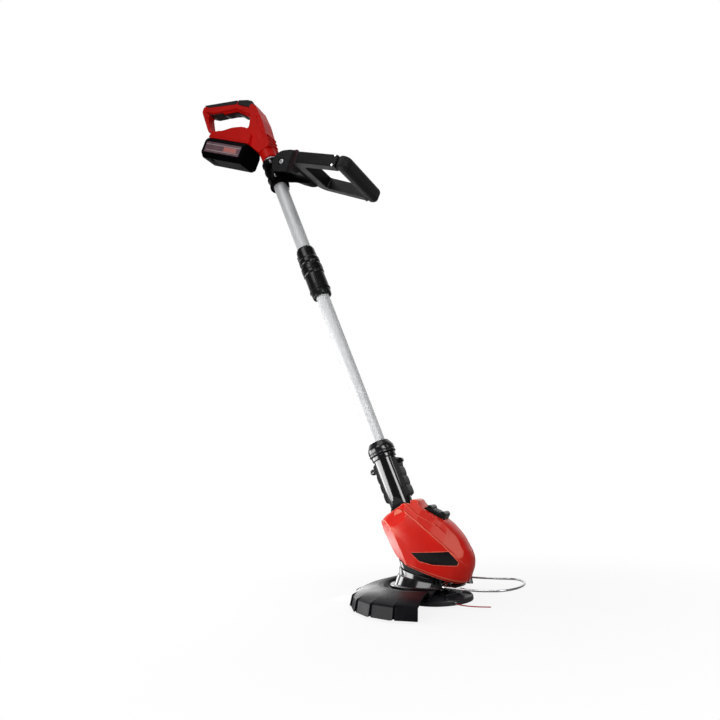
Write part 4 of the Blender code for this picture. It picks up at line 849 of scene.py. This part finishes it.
def make_housing():
    left = half_body("left_half", [(HOUSING_HEIGHT * i / 134, 0) for i in range(135)], 168)
    hollow = half_body("hollow", [(0, 30)] + [(height, 0) for height in (
        11, 20, 30, 37.5, 45, 52.5, 60, 68, 75, 88)], 44, 3.6, 6.8)
    hollow.data.transform(at(0, -1, 0))
    cut(hollow, box("hollow_roof", (-200, -100, MOUTH_HEIGHT - 2.6), (200, 100, 300), POLE))
    hole = 16.8
    cut(left, box("roof", (-200, -100, MOUTH_HEIGHT), (200, 100, 300), POLE), hollow, swing_room(),
        box("button_hole", (-hole, -13.5, -60), (hole, 13.5, 30), TILT_BUTTON, 2),
        box("button_seat", (-hole - 3, -16.5, -2.2), (hole + 3, 16.5, 30), TILT_BUTTON, 3))
    join(left, rod("boss", 7.5, (0, 19.9, 0), (0, 28.5, 0), POLE))
    cut(left, pin("pin_seat", PIN_HOLE, 0, 26.8, 0, POLE))
    right = mirrored_copy(left, "right_half")
    cut(right, badge_body("badge_room", 0.3, 0.9, 20))
    piece(left, red, "head", "housing_left", angle=30)
    piece(right, red, "head", "housing_right", angle=30)
    panel = bevel(badge_body("badge", 0, 0.7, -0.1), 0.2, 2, 50)
    piece(panel, badge_black, "head", "badge_panel")


def ribbed(obj, name, count, first, step, half, z, frame, radius=0.6):
    """Joins fine ribs across the middle plane to the top of a button."""
    for i in range(count):
        join(obj, pin(f"{name}_{i}", radius, first + step * i, half, z, frame, 12))
    return obj


def make_tilt_button():
    button = box("tilt_key", (-16.5, -13, -15.5), (16.5, 13, 4.6), TILT_BUTTON, 2.6, 4)
    for place, x in (("rear", -11.7), ("front", 11.7)):
        join(button, pin(f"hump_{place}", 4.8, x, 12.6, 3.6, TILT_BUTTON, 40, 1))
    ribbed(button, "rib", 5, -5.6, 2.8, 9.5, 4.6, TILT_BUTTON, 0.7)
    piece(button, lock_black, "tilt_catch", "tilt_button")


def rib_bar(side):
    """The scalloped bar along the front or back of the sleeve."""
    out, swell, notch = (22.8, 1.2, 22.2) if side > 0 else (20.3, 1.1, 19.8)
    points = [(side * 15, 20.8)]
    for i in range(4):
        middle = 32 + 16 * i
        for share in (-0.47, -0.43, -0.36, -0.25, -0.12, 0.0, 0.12, 0.25, 0.36, 0.43, 0.47):
            bulge = math.cos(math.pi * abs(share) ** 1.6 / 0.47 ** 1.6 / 2)
            points.append((side * (out + swell * bulge), middle + 16 * share))
        points.append((side * notch, middle + 8))
    return points + [(side * 15, 91.2)]


def make_sleeve():
    wall = 19
    profile = rounded([(wall, 0), (wall, 93.2), (20.9, 94.2), (21.2, 99.5), (20.6, 100.7),
                       (TUBE_BORE, 100.7), (TUBE_BORE, 0)], 0.6, 3)
    # Rings along the plain wall, so that what joins it leaves no long thin faces
    start = next(i for i, (r, z) in enumerate(profile) if z > 50 and r > 18)
    profile[start:start] = [(wall, 4 * i) for i in range(5, 23)]
    sleeve = lathe("sleeve", profile, POLE, 144)
    join(sleeve, pin("hub", 18.8, 0, 18.6, 0, POLE, 96, 1.2))
    for side, place in ((1, "front"), (-1, "rear")):
        bar = prism(f"bar_{place}", rib_bar(side), -11, 11, POLE, 1.6, 4)
        cut(bar, rod("inside", 18.9, (0, 0, -50), (0, 0, 200), POLE, 128))
        piece(bar, black_satin, "lower_pole", angle=24)
    for x, radius in ((-27.5, 5), (26.5, 4.2)):
        join(sleeve, pin("lug", radius, x, 3.5, 81, POLE, 40, 0.8))
    cut(sleeve, pin("eye", 2.2, -28.7, 20, 81, POLE, 32),
        rod("bore", TUBE_BORE, (0, 0, 30), (0, 0, 200), POLE, 64),
        rod("cable_hole", 4.5, (0, 0, -30), (0, 0, 50), POLE, 32),
        pin("pin_hole", PIN_HOLE, 0, 50, 0, POLE, 32))
    for side in (-1, 1):
        flank = [(side * y, z) for y, z in ((30, -30), (16.6, -30), (16.6, 17), (19.2, 26), (30, 26))]
        cut(sleeve, prism("flank", flank, -30, 30, POLE @ turned(90, "Z")))
    piece(sleeve, black_gloss, "lower_pole", "pole_sleeve")
    top = rounded([(15, 124), (17.2, 123.6), (21.6, 116), (22.9, 112.8), (23.2, 106.8), (22.5, 106),
                   (22.5, 104.8), (23.2, 104), (23.2, 101.3), (12.9, 101), (12.9, 124)], 1.6, 4)
    piece(lathe("cap", top, POLE, 128), cap_black, "lower_pole", "sleeve_cap", angle=28)


def rim_height(x):
    """The height of the housing's rim over the floor."""
    return 66 - (x + 62) * math.tan(math.radians(17.3) + math.atan(RIM_DROOP))


def cover_ring(share, centre, half_x, half_y, base=25.1, lift=0, power=2.2, count=128):
    """A ring of the lower cover, at a share of the way from its base up to the rim."""
    ring = []
    for i in range(count):
        c, s = oval(2 * math.pi * (i + 0.5) / count, power)
        x = centre + half_x * c
        ring.append((x, half_y * s, base + share * (rim_height(x) - 0.3 - base) + lift))
    return ring


# The lower cover's rings: share of its height, middle, half length and half width
COVER_ROWS = (
    (0.0, -19, 59.2, 46.2), (0.015, -19, 60, 47), (0.065, -19, 60, 47), (0.085, -18.5, 59, 46.2),
    (0.095, -16.8, 55, 43.6), (0.12, -16.5, 54.3, 43), (0.43, -13.7, 51.7, 38.8), (0.448, -13.4, 50.9, 38),
    (0.462, -12.5, 49.7, 36.7), (0.48, -12.5, 50, 36.8), (0.70, -11.6, 50.6, 36.1),
    (0.715, -11.3, 49.9, 35.4), (0.728, -10.6, 49, 34.6), (0.745, -10.5, 49.2, 34.8),
    (1.0, -10.5, 51.5, 35))
COVER_HOLLOW = ((0.0, -16.5, 47, 35.5, 27.6), (0.5, -12, 48, 35, 27.6), (1.0, -10.5, 49, 32.5, 27.6, 20))
WIRE_X, WIRE_Z = 20, 29.5


def make_lower_cover():
    cover = loft("cover", [cover_ring(*row) for row in COVER_ROWS])
    cut(cover, loft("cover_hollow", [cover_ring(*row) for row in COVER_HOLLOW]))
    join(cover, rod("motor_seat", 17, (0, 0, 26.1), (0, 0, 46.5)))
    cut(cover, rod("shaft_hole", PIN_HOLE, (0, 0, 0), (0, 0, 200)))
    for side in (-1, 1):
        join(cover, rod("socket", 4.6, (WIRE_X, side * 26.5, WIRE_Z), (WIRE_X, side * 40.5, WIRE_Z),
                        WORLD, 40, 0.8))
        cut(cover, rod("wire_hole", 1.9, (WIRE_X, side * 28, WIRE_Z), (WIRE_X, side * 60, WIRE_Z),
                       WORLD, 24))
        for i in range(6):
            x = 4 + 5.8 * i
            z, tall = 0.5 * (rim_height(x) + WIRE_Z), 0.34 * (rim_height(x) - WIRE_Z)
            cut(cover, box("vent", (x - 1.2, side * 22, z - tall), (x + 1.2, side * 60, z + tall)))
    piece(cover, black_gloss, "head", "lower_cover", angle=30)


# The guard's section as (radius, height), and the shares of a panel at which it has a column
GUARD_TOP = ((8.8, 24.8), (83, 24.8), (84.6, 26.2), (86.6, 30), (88, 31), (90, 31.6), (93, 32),
             (95.5, 31.9), (98.5, 31.1), (108, 29.2), (118, 27))
GUARD_UNDER = ((129, 19.6), (118, 24.6), (108, 27), (95.5, 29.6), (90, 29.3), (87.2, 28), (85, 22.8),
               (8.8, 22.8))
PANEL_SHARES = (0.004, 0.03, 0.12, 0.24, 0.36, 0.48, 0.60, 0.72, 0.84, 0.95, 0.985, 0.996)


def make_guard():
    pitch = math.pi / 10
    columns = []
    for panel, share in ((panel, share) for panel in range(-6, 7) for share in PANEL_SHARES):
        angle = (panel + share - 0.5) * pitch
        if abs(angle) >= math.radians(100):
            continue
        middle = math.floor(angle / pitch + 0.5) * pitch
        flat = math.cos(pitch / 2) / math.cos(angle - middle) - 1
        step = 2.4 * share + 134 * flat
        edge = 0.5 * ramp(share, 0.0, 0.03) * (1 - ramp(share, 0.985, 1.0))
        foot = 3.2 + 1.6 * (ramp(share, 0.93, 0.985) + 1 - ramp(share, 0.004, 0.03))
        skirt = ((126.2 + step * 0.5, 24 - step * 0.12), (130.8 + step * 0.85, 21.9), (133 + step, 20.6),
                 (134 + step + edge, 18.8), (138.1 + step + edge, foot + 0.4), (137.9 + step + edge, foot),
                 (136.2 + step, foot), (131.8 + step, 18.4))
        columns.append([(-r * math.cos(angle), -r * math.sin(angle), z)
                        for r, z in GUARD_TOP + skirt + GUARD_UNDER])
    guard = loft("shield", columns)
    cut(guard, box("front", (13, -200, -100), (200, 200, 200)),
        rod("shaft_room", 8.8, (0, 0, -100), (0, 0, 200)))
    piece(guard, guard_grey, "head", "guard", angle=24)


EYELET_UP = Vector((0, 0, 5.2))
FIN_PHASE = math.degrees(0.2)


def make_spool():
    top = 17
    outline = [(11, top), (13.5, top), (14.2, top - 1.2), (29, top - 2.6), (30, top - 1.9),
               (31.6, top - 1.9), (32.5, top - 3.1), (40.5, top - 5), (47, top - 6.8), (48.5, top - 7.8),
               (49, top - 9.2), (49, 3.4), (48.6, 2.8), (47, 2.8), (47, top - 9.8), (40, top - 7.8),
               (29.5, top - 4.9), (PIN_HOLE, top - 4.9), (PIN_HOLE, top)]
    shell = lathe("spool_shell", outline, WORLD, 128)
    fin = ((33.5, top - 6), (33.5, top - 2), (35, top - 1), (40, top - 1.8), (46.8, top - 4.8),
           (47, top - 8))
    for i in range(10):
        join(shell, prism("fin", fin, -1.1, 1.1, turned(36 * i + FIN_PHASE, "Z"), 0.5, 2))
        if i == 0:
            cut(shell, rod("eyelet_hole", 2.2, EYELET * 40 + EYELET_UP, EYELET * 60 + EYELET_UP, WORLD, 24))
        elif i % 2 == 0:
            cut(shell, box("window", (43, -5, 3.8), (60, 5, 6.2), turned(36 * i + EYELET_TURN, "Z"),
                           0.6, 2))
    piece(shell, spool_black, "spool", "spool_housing", angle=30)
    ring = lathe("eyelet", rounded([(1.1, 47.1), (1.9, 47.1), (1.9, 49.1), (2.1, 49.3), (2.1, 50.2),
                                    (1.1, 50.2)], 0.3, 3),
                 at(*EYELET_UP) @ turned(EYELET_TURN, "Z") @ turned(90), 40)
    piece(ring, steel, "spool", "line_eyelet")

    # The spring shortens as the knob is pressed, from its fixed upper end
    steps, wire, low, high = 144, 0.45, 5.25, 11.55
    coil = [Vector((7.8 * math.cos(math.radians(10 * i)), 7.8 * math.sin(math.radians(10 * i)),
                    low + (high - low) * i / steps)) for i in range(steps + 1)]
    spring = piece(raw("coil", *tube_mesh(coil, wire, 10)), steel, "spool", "spool_spring")
    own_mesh(spring)
    knob = lathe("bump", [(0, 3.1), (21.6, 3.1), (21.9, 2.8), (21.9, 1.4), (21.4, 0.6), (20.5, 0), (12, 0),
                          (11.2, 0.6), (0, 0.6)])
    piece(knob, black_satin, "bump_feed", "bump_knob", angle=30)


def make_wire():
    """The plant guard: a loop of wire, from its half on the right."""
    x, z = WIRE_X, WIRE_Z
    half = [(x, -29, z), (x, -33, z), (x, -43, z), (x + 1.5, -46.2, z), (x + 5, -47.5, z - 0.5),
            (50, -49, 27), (75, -50.5, 25.8), (95, -49, 25.6)]
    half += [(95 + 32 * math.cos(a), -49 * math.sin(a), 25.6)
             for a in (math.radians(90 - 15 * i) for i in range(1, 7))]
    points, _ = spline_points(half + [(x, -y, z) for x, y, z in reversed(half[:-1])], 260)
    piece(raw("wire_loop", *tube_mesh(points, 1.6, 20)), wire_steel, "plant_guard", "plant_guard_wire")


# The rear handle's outlines, in world coordinates from the side; the foot's is in the battery's frame
HANDLE_OUTLINE = ((-463, 1052), (-457, 1064.5), (-356, 1037), (-329, 1026), (-307.8, 1003), (-294.5, 963),
                  (-287, 930), (-320, 924), (-420, 972), (-445.5, 993))
HAND_OPENING = ((-446.5, 1040), (-429, 1030), (-364, 1016), (-326, 984), (-331, 960), (-365, 971),
                (-395, 974), (-427, 990), (-441.5, 998))
COLUMN_OUTLINE = ((-325, 1018), (-306.9, 1001), (-292.4, 963), (-280.8, 915), (-275.4, 893),
                  (-303.5, 884.5), (-324.5, 909), (-336, 925), (-334, 952), (-326.5, 982))
FOOT_OUTLINE = ((1, 36.3), (124.5, 36.3), (120, 60), (100.3, 71.2), (75.3, 71.5), (36.7, 60), (3.6, 46.5))
REAR_PAD = ((-454, 1065.1), (-358.2, 1039.2), (-360.5, 1030), (-440, 1054))
FRONT_PAD = ((-356.2, 1039), (-328.2, 1027.8), (-315, 1013.7), (-326.2, 1004.5), (-333, 1012),
             (-358.2, 1027.5))
LINER = ((-440, 1040.5), (-402.3, 1032.1), (-402.3, 1024.4), (-429, 1030.2), (-441.5, 1037.2))
TRIGGER = ((-401.5, 1030), (-398, 1034.5), (-385, 1033.5), (-362, 1025.5), (-345, 1013), (-334, 1000.5),
           (-333.5, 991.5), (-345, 996), (-358, 1008), (-374, 1014), (-392, 1018), (-401.5, 1022.5))
TRIGGER_PIVOT, TRIGGER_SWEEP = (-396, 1030), 7
SWITCH = ((-323, 988), (-312, 982), (-305.5, 956), (-317, 952), (-328, 956))
SIDE_SCREWS = ((-454.5, 1030), (-316.5, 992), (-303.5, 938), (-417, 974.5))
NECK = ((15.6, 771.2), (16.5, 772), (16.9, 790), (17.6, 800), (18.1, 812), (18.5, 838))
# The line of ribs across the rear pad: where it starts and how far it runs
PAD_START, PAD_RUN = (-454, 1065.2), (95.8, -26)
LOCK_WELL = ((-6.8, -4.8, -9.5), (6.8, 4.8, 20), LOCK_OFF)


def grown(outline, amount):
    """Moves each side of a closed outline outwards by the same amount."""
    around = list(zip(outline[-1:] + outline[:-1], outline, outline[1:] + outline[:1]))
    area = sum(here[0] * after[1] - after[0] * here[1] for _, here, after in around)
    turn = 1 if area > 0 else -1
    points = []
    for before, here, after in (map(Vector, row) for row in around):
        normals = [Vector((way.y, -way.x)) * turn for way in ((here - before).normalized(),
                                                              (after - here).normalized())]
        middle = (normals[0] + normals[1]).normalized()
        points.append(tuple(here + middle * amount / max(middle.dot(normals[0]), 0.4)))
    return points


def turned_about(outline, centre, degrees):
    c, s = math.cos(math.radians(degrees)), math.sin(math.radians(degrees))
    return [(centre[0] + (x - centre[0]) * c - (z - centre[1]) * s,
             centre[1] + (x - centre[0]) * s + (z - centre[1]) * c) for x, z in outline]


def trigger_room():
    """The room that the trigger sweeps when it is pulled, its tip at five places on the way."""
    pulled = turned_about(TRIGGER, TRIGGER_PIVOT, TRIGGER_SWEEP)
    tip = [turned_about(TRIGGER[6:7], TRIGGER_PIVOT, TRIGGER_SWEEP * share / 5)[0]
           for share in range(5, 0, -1)]
    return grown(TRIGGER[:1] + tuple(pulled[1:6] + tip) + TRIGGER[6:], 0.8)


def groove(name, points, y, radius, matrix=WORLD):
    """A round bar along points of (x, z) at a distance from the middle plane."""
    fine, _ = spline_points([(x, y, z) for x, z in points], 40)
    return raw(name, *tube_mesh(fine, radius, 10), matrix)


def handle_shell():
    """The rear handle's left half."""
    shell = prism("handle_body", rounded(HANDLE_OUTLINE, 5, 3), -14, 14, WORLD, 4.4, 2)
    cut(shell, prism("hand_room", rounded(HAND_OPENING, 6), -30, 30))
    join(shell, prism("column", rounded(COLUMN_OUTLINE, 4, 3), -18, 18, WORLD, 5.8, 2),
         prism("foot", rounded(FOOT_OUTLINE, 3, 3), -24.5, 24.5, BATTERY, 4, 2),
         loft("neck", [[(x, y, z) for x, y in circle(r, 96)] for r, z in NECK], POLE))
    for x, z in ((-281.4, 920.5), (-279.4, 911), (-277.4, 901.5)):
        join(shell, pin("ridge", 2.6, x, 15.8, z, WORLD, 24, 1.2))
    keep(shell, box("half", (-600, SEAM, 600), (100, 100, 1300)))
    wide_rim, rim = (rounded(grown(HAND_OPENING, amount), 7) for amount in (5.2, 0.8))
    cut(shell, loft("opening_rim", [[(x, y, z) for x, z in edge] for edge, y in (
        (rim, 9.4), (wide_rim, 14.2), (wide_rim, 30))]))
    cut(shell, rod("tube_room", 14, (0, 0, 700), (0, 0, 835.3), POLE, 64))
    for outline, half in ((grown(REAR_PAD, 0.3), 50), (grown(FRONT_PAD, 0.3), 50),
                          (grown(LINER, 0.3), 11.2), (trigger_room(), 6.8), (grown(SWITCH, 0.3), 8.5)):
        cut(shell, prism("room", outline, -half, half))
    cut(shell, box("neck_room", (-50, -16.9, 0), (121.6, 16.9, 39.5), BATTERY),
        box("rail_room", (-50, -19.9, 38.1), (121.6, 19.9, 40.9), BATTERY),
        box("terminal_room", (83.7, -13.3, 36), (108.3, 13.3, 50.3), BATTERY), box("lock_well", *LOCK_WELL),
        groove("panel_line", ((-306.8, 974), (-305.1, 969), (-296.8, 938), (-287.5, 918), (-283.8, 912)),
               18.4, 2.2),
        groove("bar_line", ((-354.8, 1030), (-353.6, 1020.3), (-342, 1007), (-329, 993.5)), 14.3, 0.8),
        groove("foot_line", ((4, 40.5), (30, 40.5), (80, 40.5), (122, 40.5)), 24.8, 0.7, BATTERY))
    return shell


def make_rear_handle():
    shell = handle_shell()
    right = mirrored_copy(shell, "shell_right")
    for i, (x, z) in enumerate(SIDE_SCREWS, 1):
        cut(shell, rod("well", 3.1, (x, 10.5, z), (x, 50, z), WORLD, 32))
        head = rod(f"screw_{i}", 2.7, (x, 10.8, z), (x, 13.4, z), WORLD, 32, 0.5)
        for degrees in (0, 90):
            cut(head, box("slot", (-1.6, -0.9, -0.3), (1.6, 1, 0.3), at(x, 13.4, z) @ turned(degrees)))
        piece(head, steel, "upper", f"handle_screw_{i}")
    piece(shell, red_shell_painted_light, "upper", "handle_shell_left", angle=32)
    piece(right, red_shell_painted_light, "upper", "handle_shell_right", angle=32)

    rear = prism("pad_rear", rounded(REAR_PAD, 2.2, 4), -14.1, 14.1, WORLD, 3.2, 4)
    slope = math.degrees(math.atan2(PAD_RUN[1], PAD_RUN[0]))
    for i in range(9):
        share = 0.12 + 0.76 * i / 8
        place = at(PAD_START[0] + share * PAD_RUN[0], 0, PAD_START[1] + share * PAD_RUN[1])
        cut(rear, box("pad_line", (-0.7, -10.5, -0.6), (0.7, 10.5, 2), place @ turned(-slope)))
    piece(rear, black_grip, "upper", "grip_pad_rear")
    front = prism("pad_front", rounded(FRONT_PAD, 3), -14.6, 14.6, WORLD, 3.4, 4)
    cut(front, box("lock_room", *LOCK_WELL))
    piece(front, black_grip, "upper", "grip_pad_front")
    liner = prism("liner", rounded(LINER, 1.2, 3), -10.9, 10.9, WORLD, 1)
    piece(liner, black_grip, "upper", "grip_liner")
    trigger = prism("trigger_key", rounded(TRIGGER, 2.2, 4), -6.5, 6.5, WORLD, 1.6, 4)
    piece(trigger, black_satin, "trigger", "trigger")
    key = box("lock_key", (-6.5, -4.5, -5.5), (6.5, 4.5, 6.2), LOCK_OFF, 1.2)
    ribbed(key, "key_rib", 3, -3.2, 3.2, 3.4, 6.1, LOCK_OFF)
    piece(key, black_satin, "lock_off", "lock_off_button")


def make_battery():
    side_on = BATTERY @ turned(90, "Z")
    section_line = rounded(both_sides([(-20, -9), (-29, 0), (-29, 27), (-24, 36)], 0), 2.2, 4)
    case = prism("case", section_line, -121, 0, side_on, 2.4)
    cut(case, box("top_room", (-100, -100, 31.5), (300, 100, 200), BATTERY))
    for side in (-1, 1):
        cut(case, box("label_room", (7.5, side * 28.6, 1.2), (115.5, side * 40, 26.2), BATTERY, 0.3, 1))
        label = box(f"label_{side}", (8, side * 27, 1.7), (115, side * 28.9, 25.7), BATTERY, 0.6, 2)
        piece(label, label_look, "battery")
        for x in (30, 34.2, 38.4, 42.6):
            cut(case, box("rib", (x, side * 19, -12), (x + 1.6, side * 30, -3.5), BATTERY))
    cut(case, prism("inside", both_sides([(-26.2, 40), (-26.2, 1), (-19, -6.4)], 0), -118.6, -2.4, side_on),
        box("latch_room", (6.7, -11.3, -50), (21.3, 11.3, 0), BATTERY),
        groove("low_line", ((-10, -4.4), (30, -4.4), (90, -4.4), (130, -4.4)), -24.6, 0.5, BATTERY),
        box("foot_notch", (24, -17, -12), (33, -8, -7.8), BATTERY, 0.6, 2),
        box("end_panel", (120.2, -19, 2), (130, 19, 25), BATTERY, 0.6, 2))
    piece(case, battery_black, "battery", "battery_case")
    lid = prism("lid", section_line, -121, 0, side_on, 2.4)
    cut(lid, box("below", (-100, -100, -100), (300, 100, 31.8), BATTERY))
    join(lid, box("rail_neck", (4, -16.5, 33), (117, 16.5, 40), BATTERY),
         box("rail", (4.5, -19.5, 38.5), (116.5, 19.5, 40.5), BATTERY, 0.5, 2))
    for y in (-9, -3, 3, 9):
        cut(lid, box("contact", (84, y - 1.1, 36), (112, y + 1.1, 50), BATTERY))
    piece(lid, battery_black, "battery", "battery_lid")
    latch = box("latch", (7, -11, -10), (21, 11, -4.5), BATTERY, 1.2)
    ribbed(latch, "latch_rib", 4, 9.8, 2.8, 8.5, -9.9, BATTERY)
    piece(latch, dark_grey, "battery_latch", "battery_latch_button")


def make_tubes():
    for name, outer, inner, low, high, node, body in (
            ("tube_upper", 13.7, 12.8, 468, 835, "upper_tube", "upper"),
            ("tube_lower", 12.5, 11.6, 30.3, 572, "lower_tube", "lower_pole")):
        profile = rounded([(outer, high), (outer, low), (inner, low), (inner, high)], 0.3, 2)
        piece(lathe(name, profile, POLE, 128), tube_metal, body, node, angle=50)


def make_lock():
    """The telescope lock: a collar on the upper tube and a twist nut below it."""
    top, low, nut = 534, 481, 20.8
    profile = [(16.5, top), (18.2, top - 5.2), (18.7, 510), (nut - 0.9, 507.2), (nut - 0.4, 506.2),
               (nut - 0.4, 498.5), (nut - 1.9, 495.8), (nut - 1.9, 492.5), (nut + 0.3, 490.5),
               (nut + 0.3, low), (17, low), (17, 462), (TUBE_BORE, 462), (TUBE_BORE, 467.7), (14, 467.7),
               (14, top)]
    collar = lathe("collar", rounded(profile, 1.1, 3), POLE, 128)
    for i in range(3):
        join(collar, box("collar_key", (17, -4.2, 510.5), (19.6, 4.2, 523),
                         POLE @ turned(75 + 120 * i, "Z"), 0.9, 2))
    piece(collar, lock_black, "upper", "telescope_collar", angle=30)
    high = low - 0.3
    profile = [(nut, high), (nut, high - 6.8), (nut - 1.5, high - 8.8), (nut - 1.3, 448), (nut - 1.9, 430),
               (nut - 2.6, 423.6), (nut - 4.6, 422), (TUBE_BORE, 422), (TUBE_BORE, 428), (17.3, 429.5),
               (17.3, high)]
    twist = lathe("twist", rounded(profile, 1, 3), POLE, 128)
    for i in range(8):
        cut(twist, rod("flute", 2.2, (nut + 0.4, 0, high - 11.8), (nut - 0.3, 0, 427.5),
                       POLE @ turned(45 * (i + 0.5), "Z"), 24, 0.8))
    band = [(nut - 3, 438.5), (nut - 1, 438.5), (nut - 0.3, 437.7), (nut - 0.3, 436.3), (nut - 1, 435.5),
            (nut - 3, 435.5)]
    join(twist, lathe("twist_ring", band, POLE @ turned(2, "Z"), 128))
    piece(twist, lock_black, "twist_nut", "telescope_nut", angle=30)


CLAMP_LOW, CLAMP_HIGH, CLAMP_OUT = PIVOT_HEIGHT - 31, PIVOT_HEIGHT + 33, 19.5
BOLT_LEVELS = (CLAMP_LOW + 10.5, CLAMP_HIGH - 15.5)
EAR_IN, EAR_OUT, EAR_DEEP = CLAMP_OUT - 2, CLAMP_OUT + 9.5, 6.5
LUG_X = 31


def clamp_half(place, sign):
    """One half of the clamp: bands round the rear one, and the handle's lug on the front one."""
    low, high, out = CLAMP_LOW, CLAMP_HIGH, CLAMP_OUT
    profile = [(out - 1.2, high), (out, high - 1.2), (out, low + 1.2), (out - 1.2, low), (14, low),
               (14, high)]
    shell = lathe(f"clamp_shell_{place}", profile, POLE @ turned(5, "Z"))
    for level in BOLT_LEVELS:
        for side in (-1, 1):
            join(shell, box("ear", (-EAR_DEEP, side * EAR_IN, level - 7),
                            (EAR_DEEP, side * EAR_OUT, level + 7), POLE, 1.6))
    if sign < 0:
        middle = 0.5 * (low + high)
        for level in (low + 2.2, high - 2.2, middle + 11, middle - 11):
            band = [(out - 1, level - 1.8), (out + 1.4, level - 1.2), (out + 1.4, level + 1.2),
                    (out - 1, level + 1.8)]
            join(shell, lathe("band", rounded(band, 0.4, 2), POLE))
    else:
        lug = [(16.2, PIVOT_HEIGHT - 12.7)] + arc((LUG_X, PIVOT_HEIGHT), 9.5, -80, 80, 17)
        join(shell, prism("lug", lug + [(16.2, PIVOT_HEIGHT + 12.7)], -11.5, 11.5, POLE, 1.2))
    return keep(shell, box("clamp_half", (sign * SEAM, -100, low - 100), (sign * 100, 100, high + 100),
                           POLE))


def make_clamp():
    rear, front = clamp_half("rear", -1), clamp_half("front", 1)
    middle = 0.5 * sum(BOLT_LEVELS)
    cut(rear, box("strap_room", (-40, -16, middle - 7), (-1, 16, middle + 7), POLE, 2))
    cut(front, pin("pivot_room", PIN_HOLE, LUG_X, 50, PIVOT_HEIGHT, POLE, 32))
    bolt_y = 0.5 * (EAR_IN + EAR_OUT) + 0.8
    places = [(side * bolt_y, level) for level in BOLT_LEVELS for side in (-1, 1)]
    for number, (y, level) in enumerate(places, 1):
        def lying(name, radius, start, end, sides, soften=0):
            return rod(name, radius, (start, y, level), (end, y, level), POLE, sides, soften)

        for half in (rear, front):
            cut(half, lying("bolt_room", 2.3, -30, 30, 24))
        head = lying("bolt_head", 3.8, EAR_DEEP + 0.3, EAR_DEEP + 3.5, 40, 0.8)
        cut(head, lying("socket", 1.9, EAR_DEEP + 1.8, EAR_DEEP + 10, 6))
        join(head, lying("shank", 2, 1 - EAR_DEEP, EAR_DEEP + 1, 24))
        piece(head, steel, "clamp", f"clamp_bolt_{number}")
    piece(rear, clamp_black, "clamp", "clamp_rear")
    piece(front, clamp_black, "clamp", "clamp_front")

    bolt = rod("pivot_shank", 3, (0, -22.5, 0), (0, 23.2, 0), LOOP, 32)
    head = rod("pivot_head", 5.5, (0, -24.8, 0), (0, -20.8, 0), LOOP, 48, 1)
    cut(head, rod("pivot_socket", 2.6, (0, -30, 0), (0, -22.8, 0), LOOP, 6))
    piece(join(head, bolt), steel, "clamp", "pivot_bolt")
    knob = lathe("knob", rounded([(0, 34.5), (9, 34.5), (11.7, 32.5), (12.5, 24), (7.5, 22.5), (5.6, 20.8),
                                  (PIN_HOLE, 20.8), (PIN_HOLE, 23.6), (0, 23.6)], 0.6, 3), LIE)
    for x, z in circle(14.6, 8):
        cut(knob, rod("flute", 3.2, (x, 20, z), (x, 40, z), LOOP, 24))
    piece(knob, black_satin, "front_handle", "handle_knob")


for make in (make_front_handle, make_housing, make_tilt_button, make_sleeve, make_lower_cover, make_guard,
             make_spool, make_wire, make_rear_handle, make_battery, make_tubes, make_lock, make_clamp):
    make()
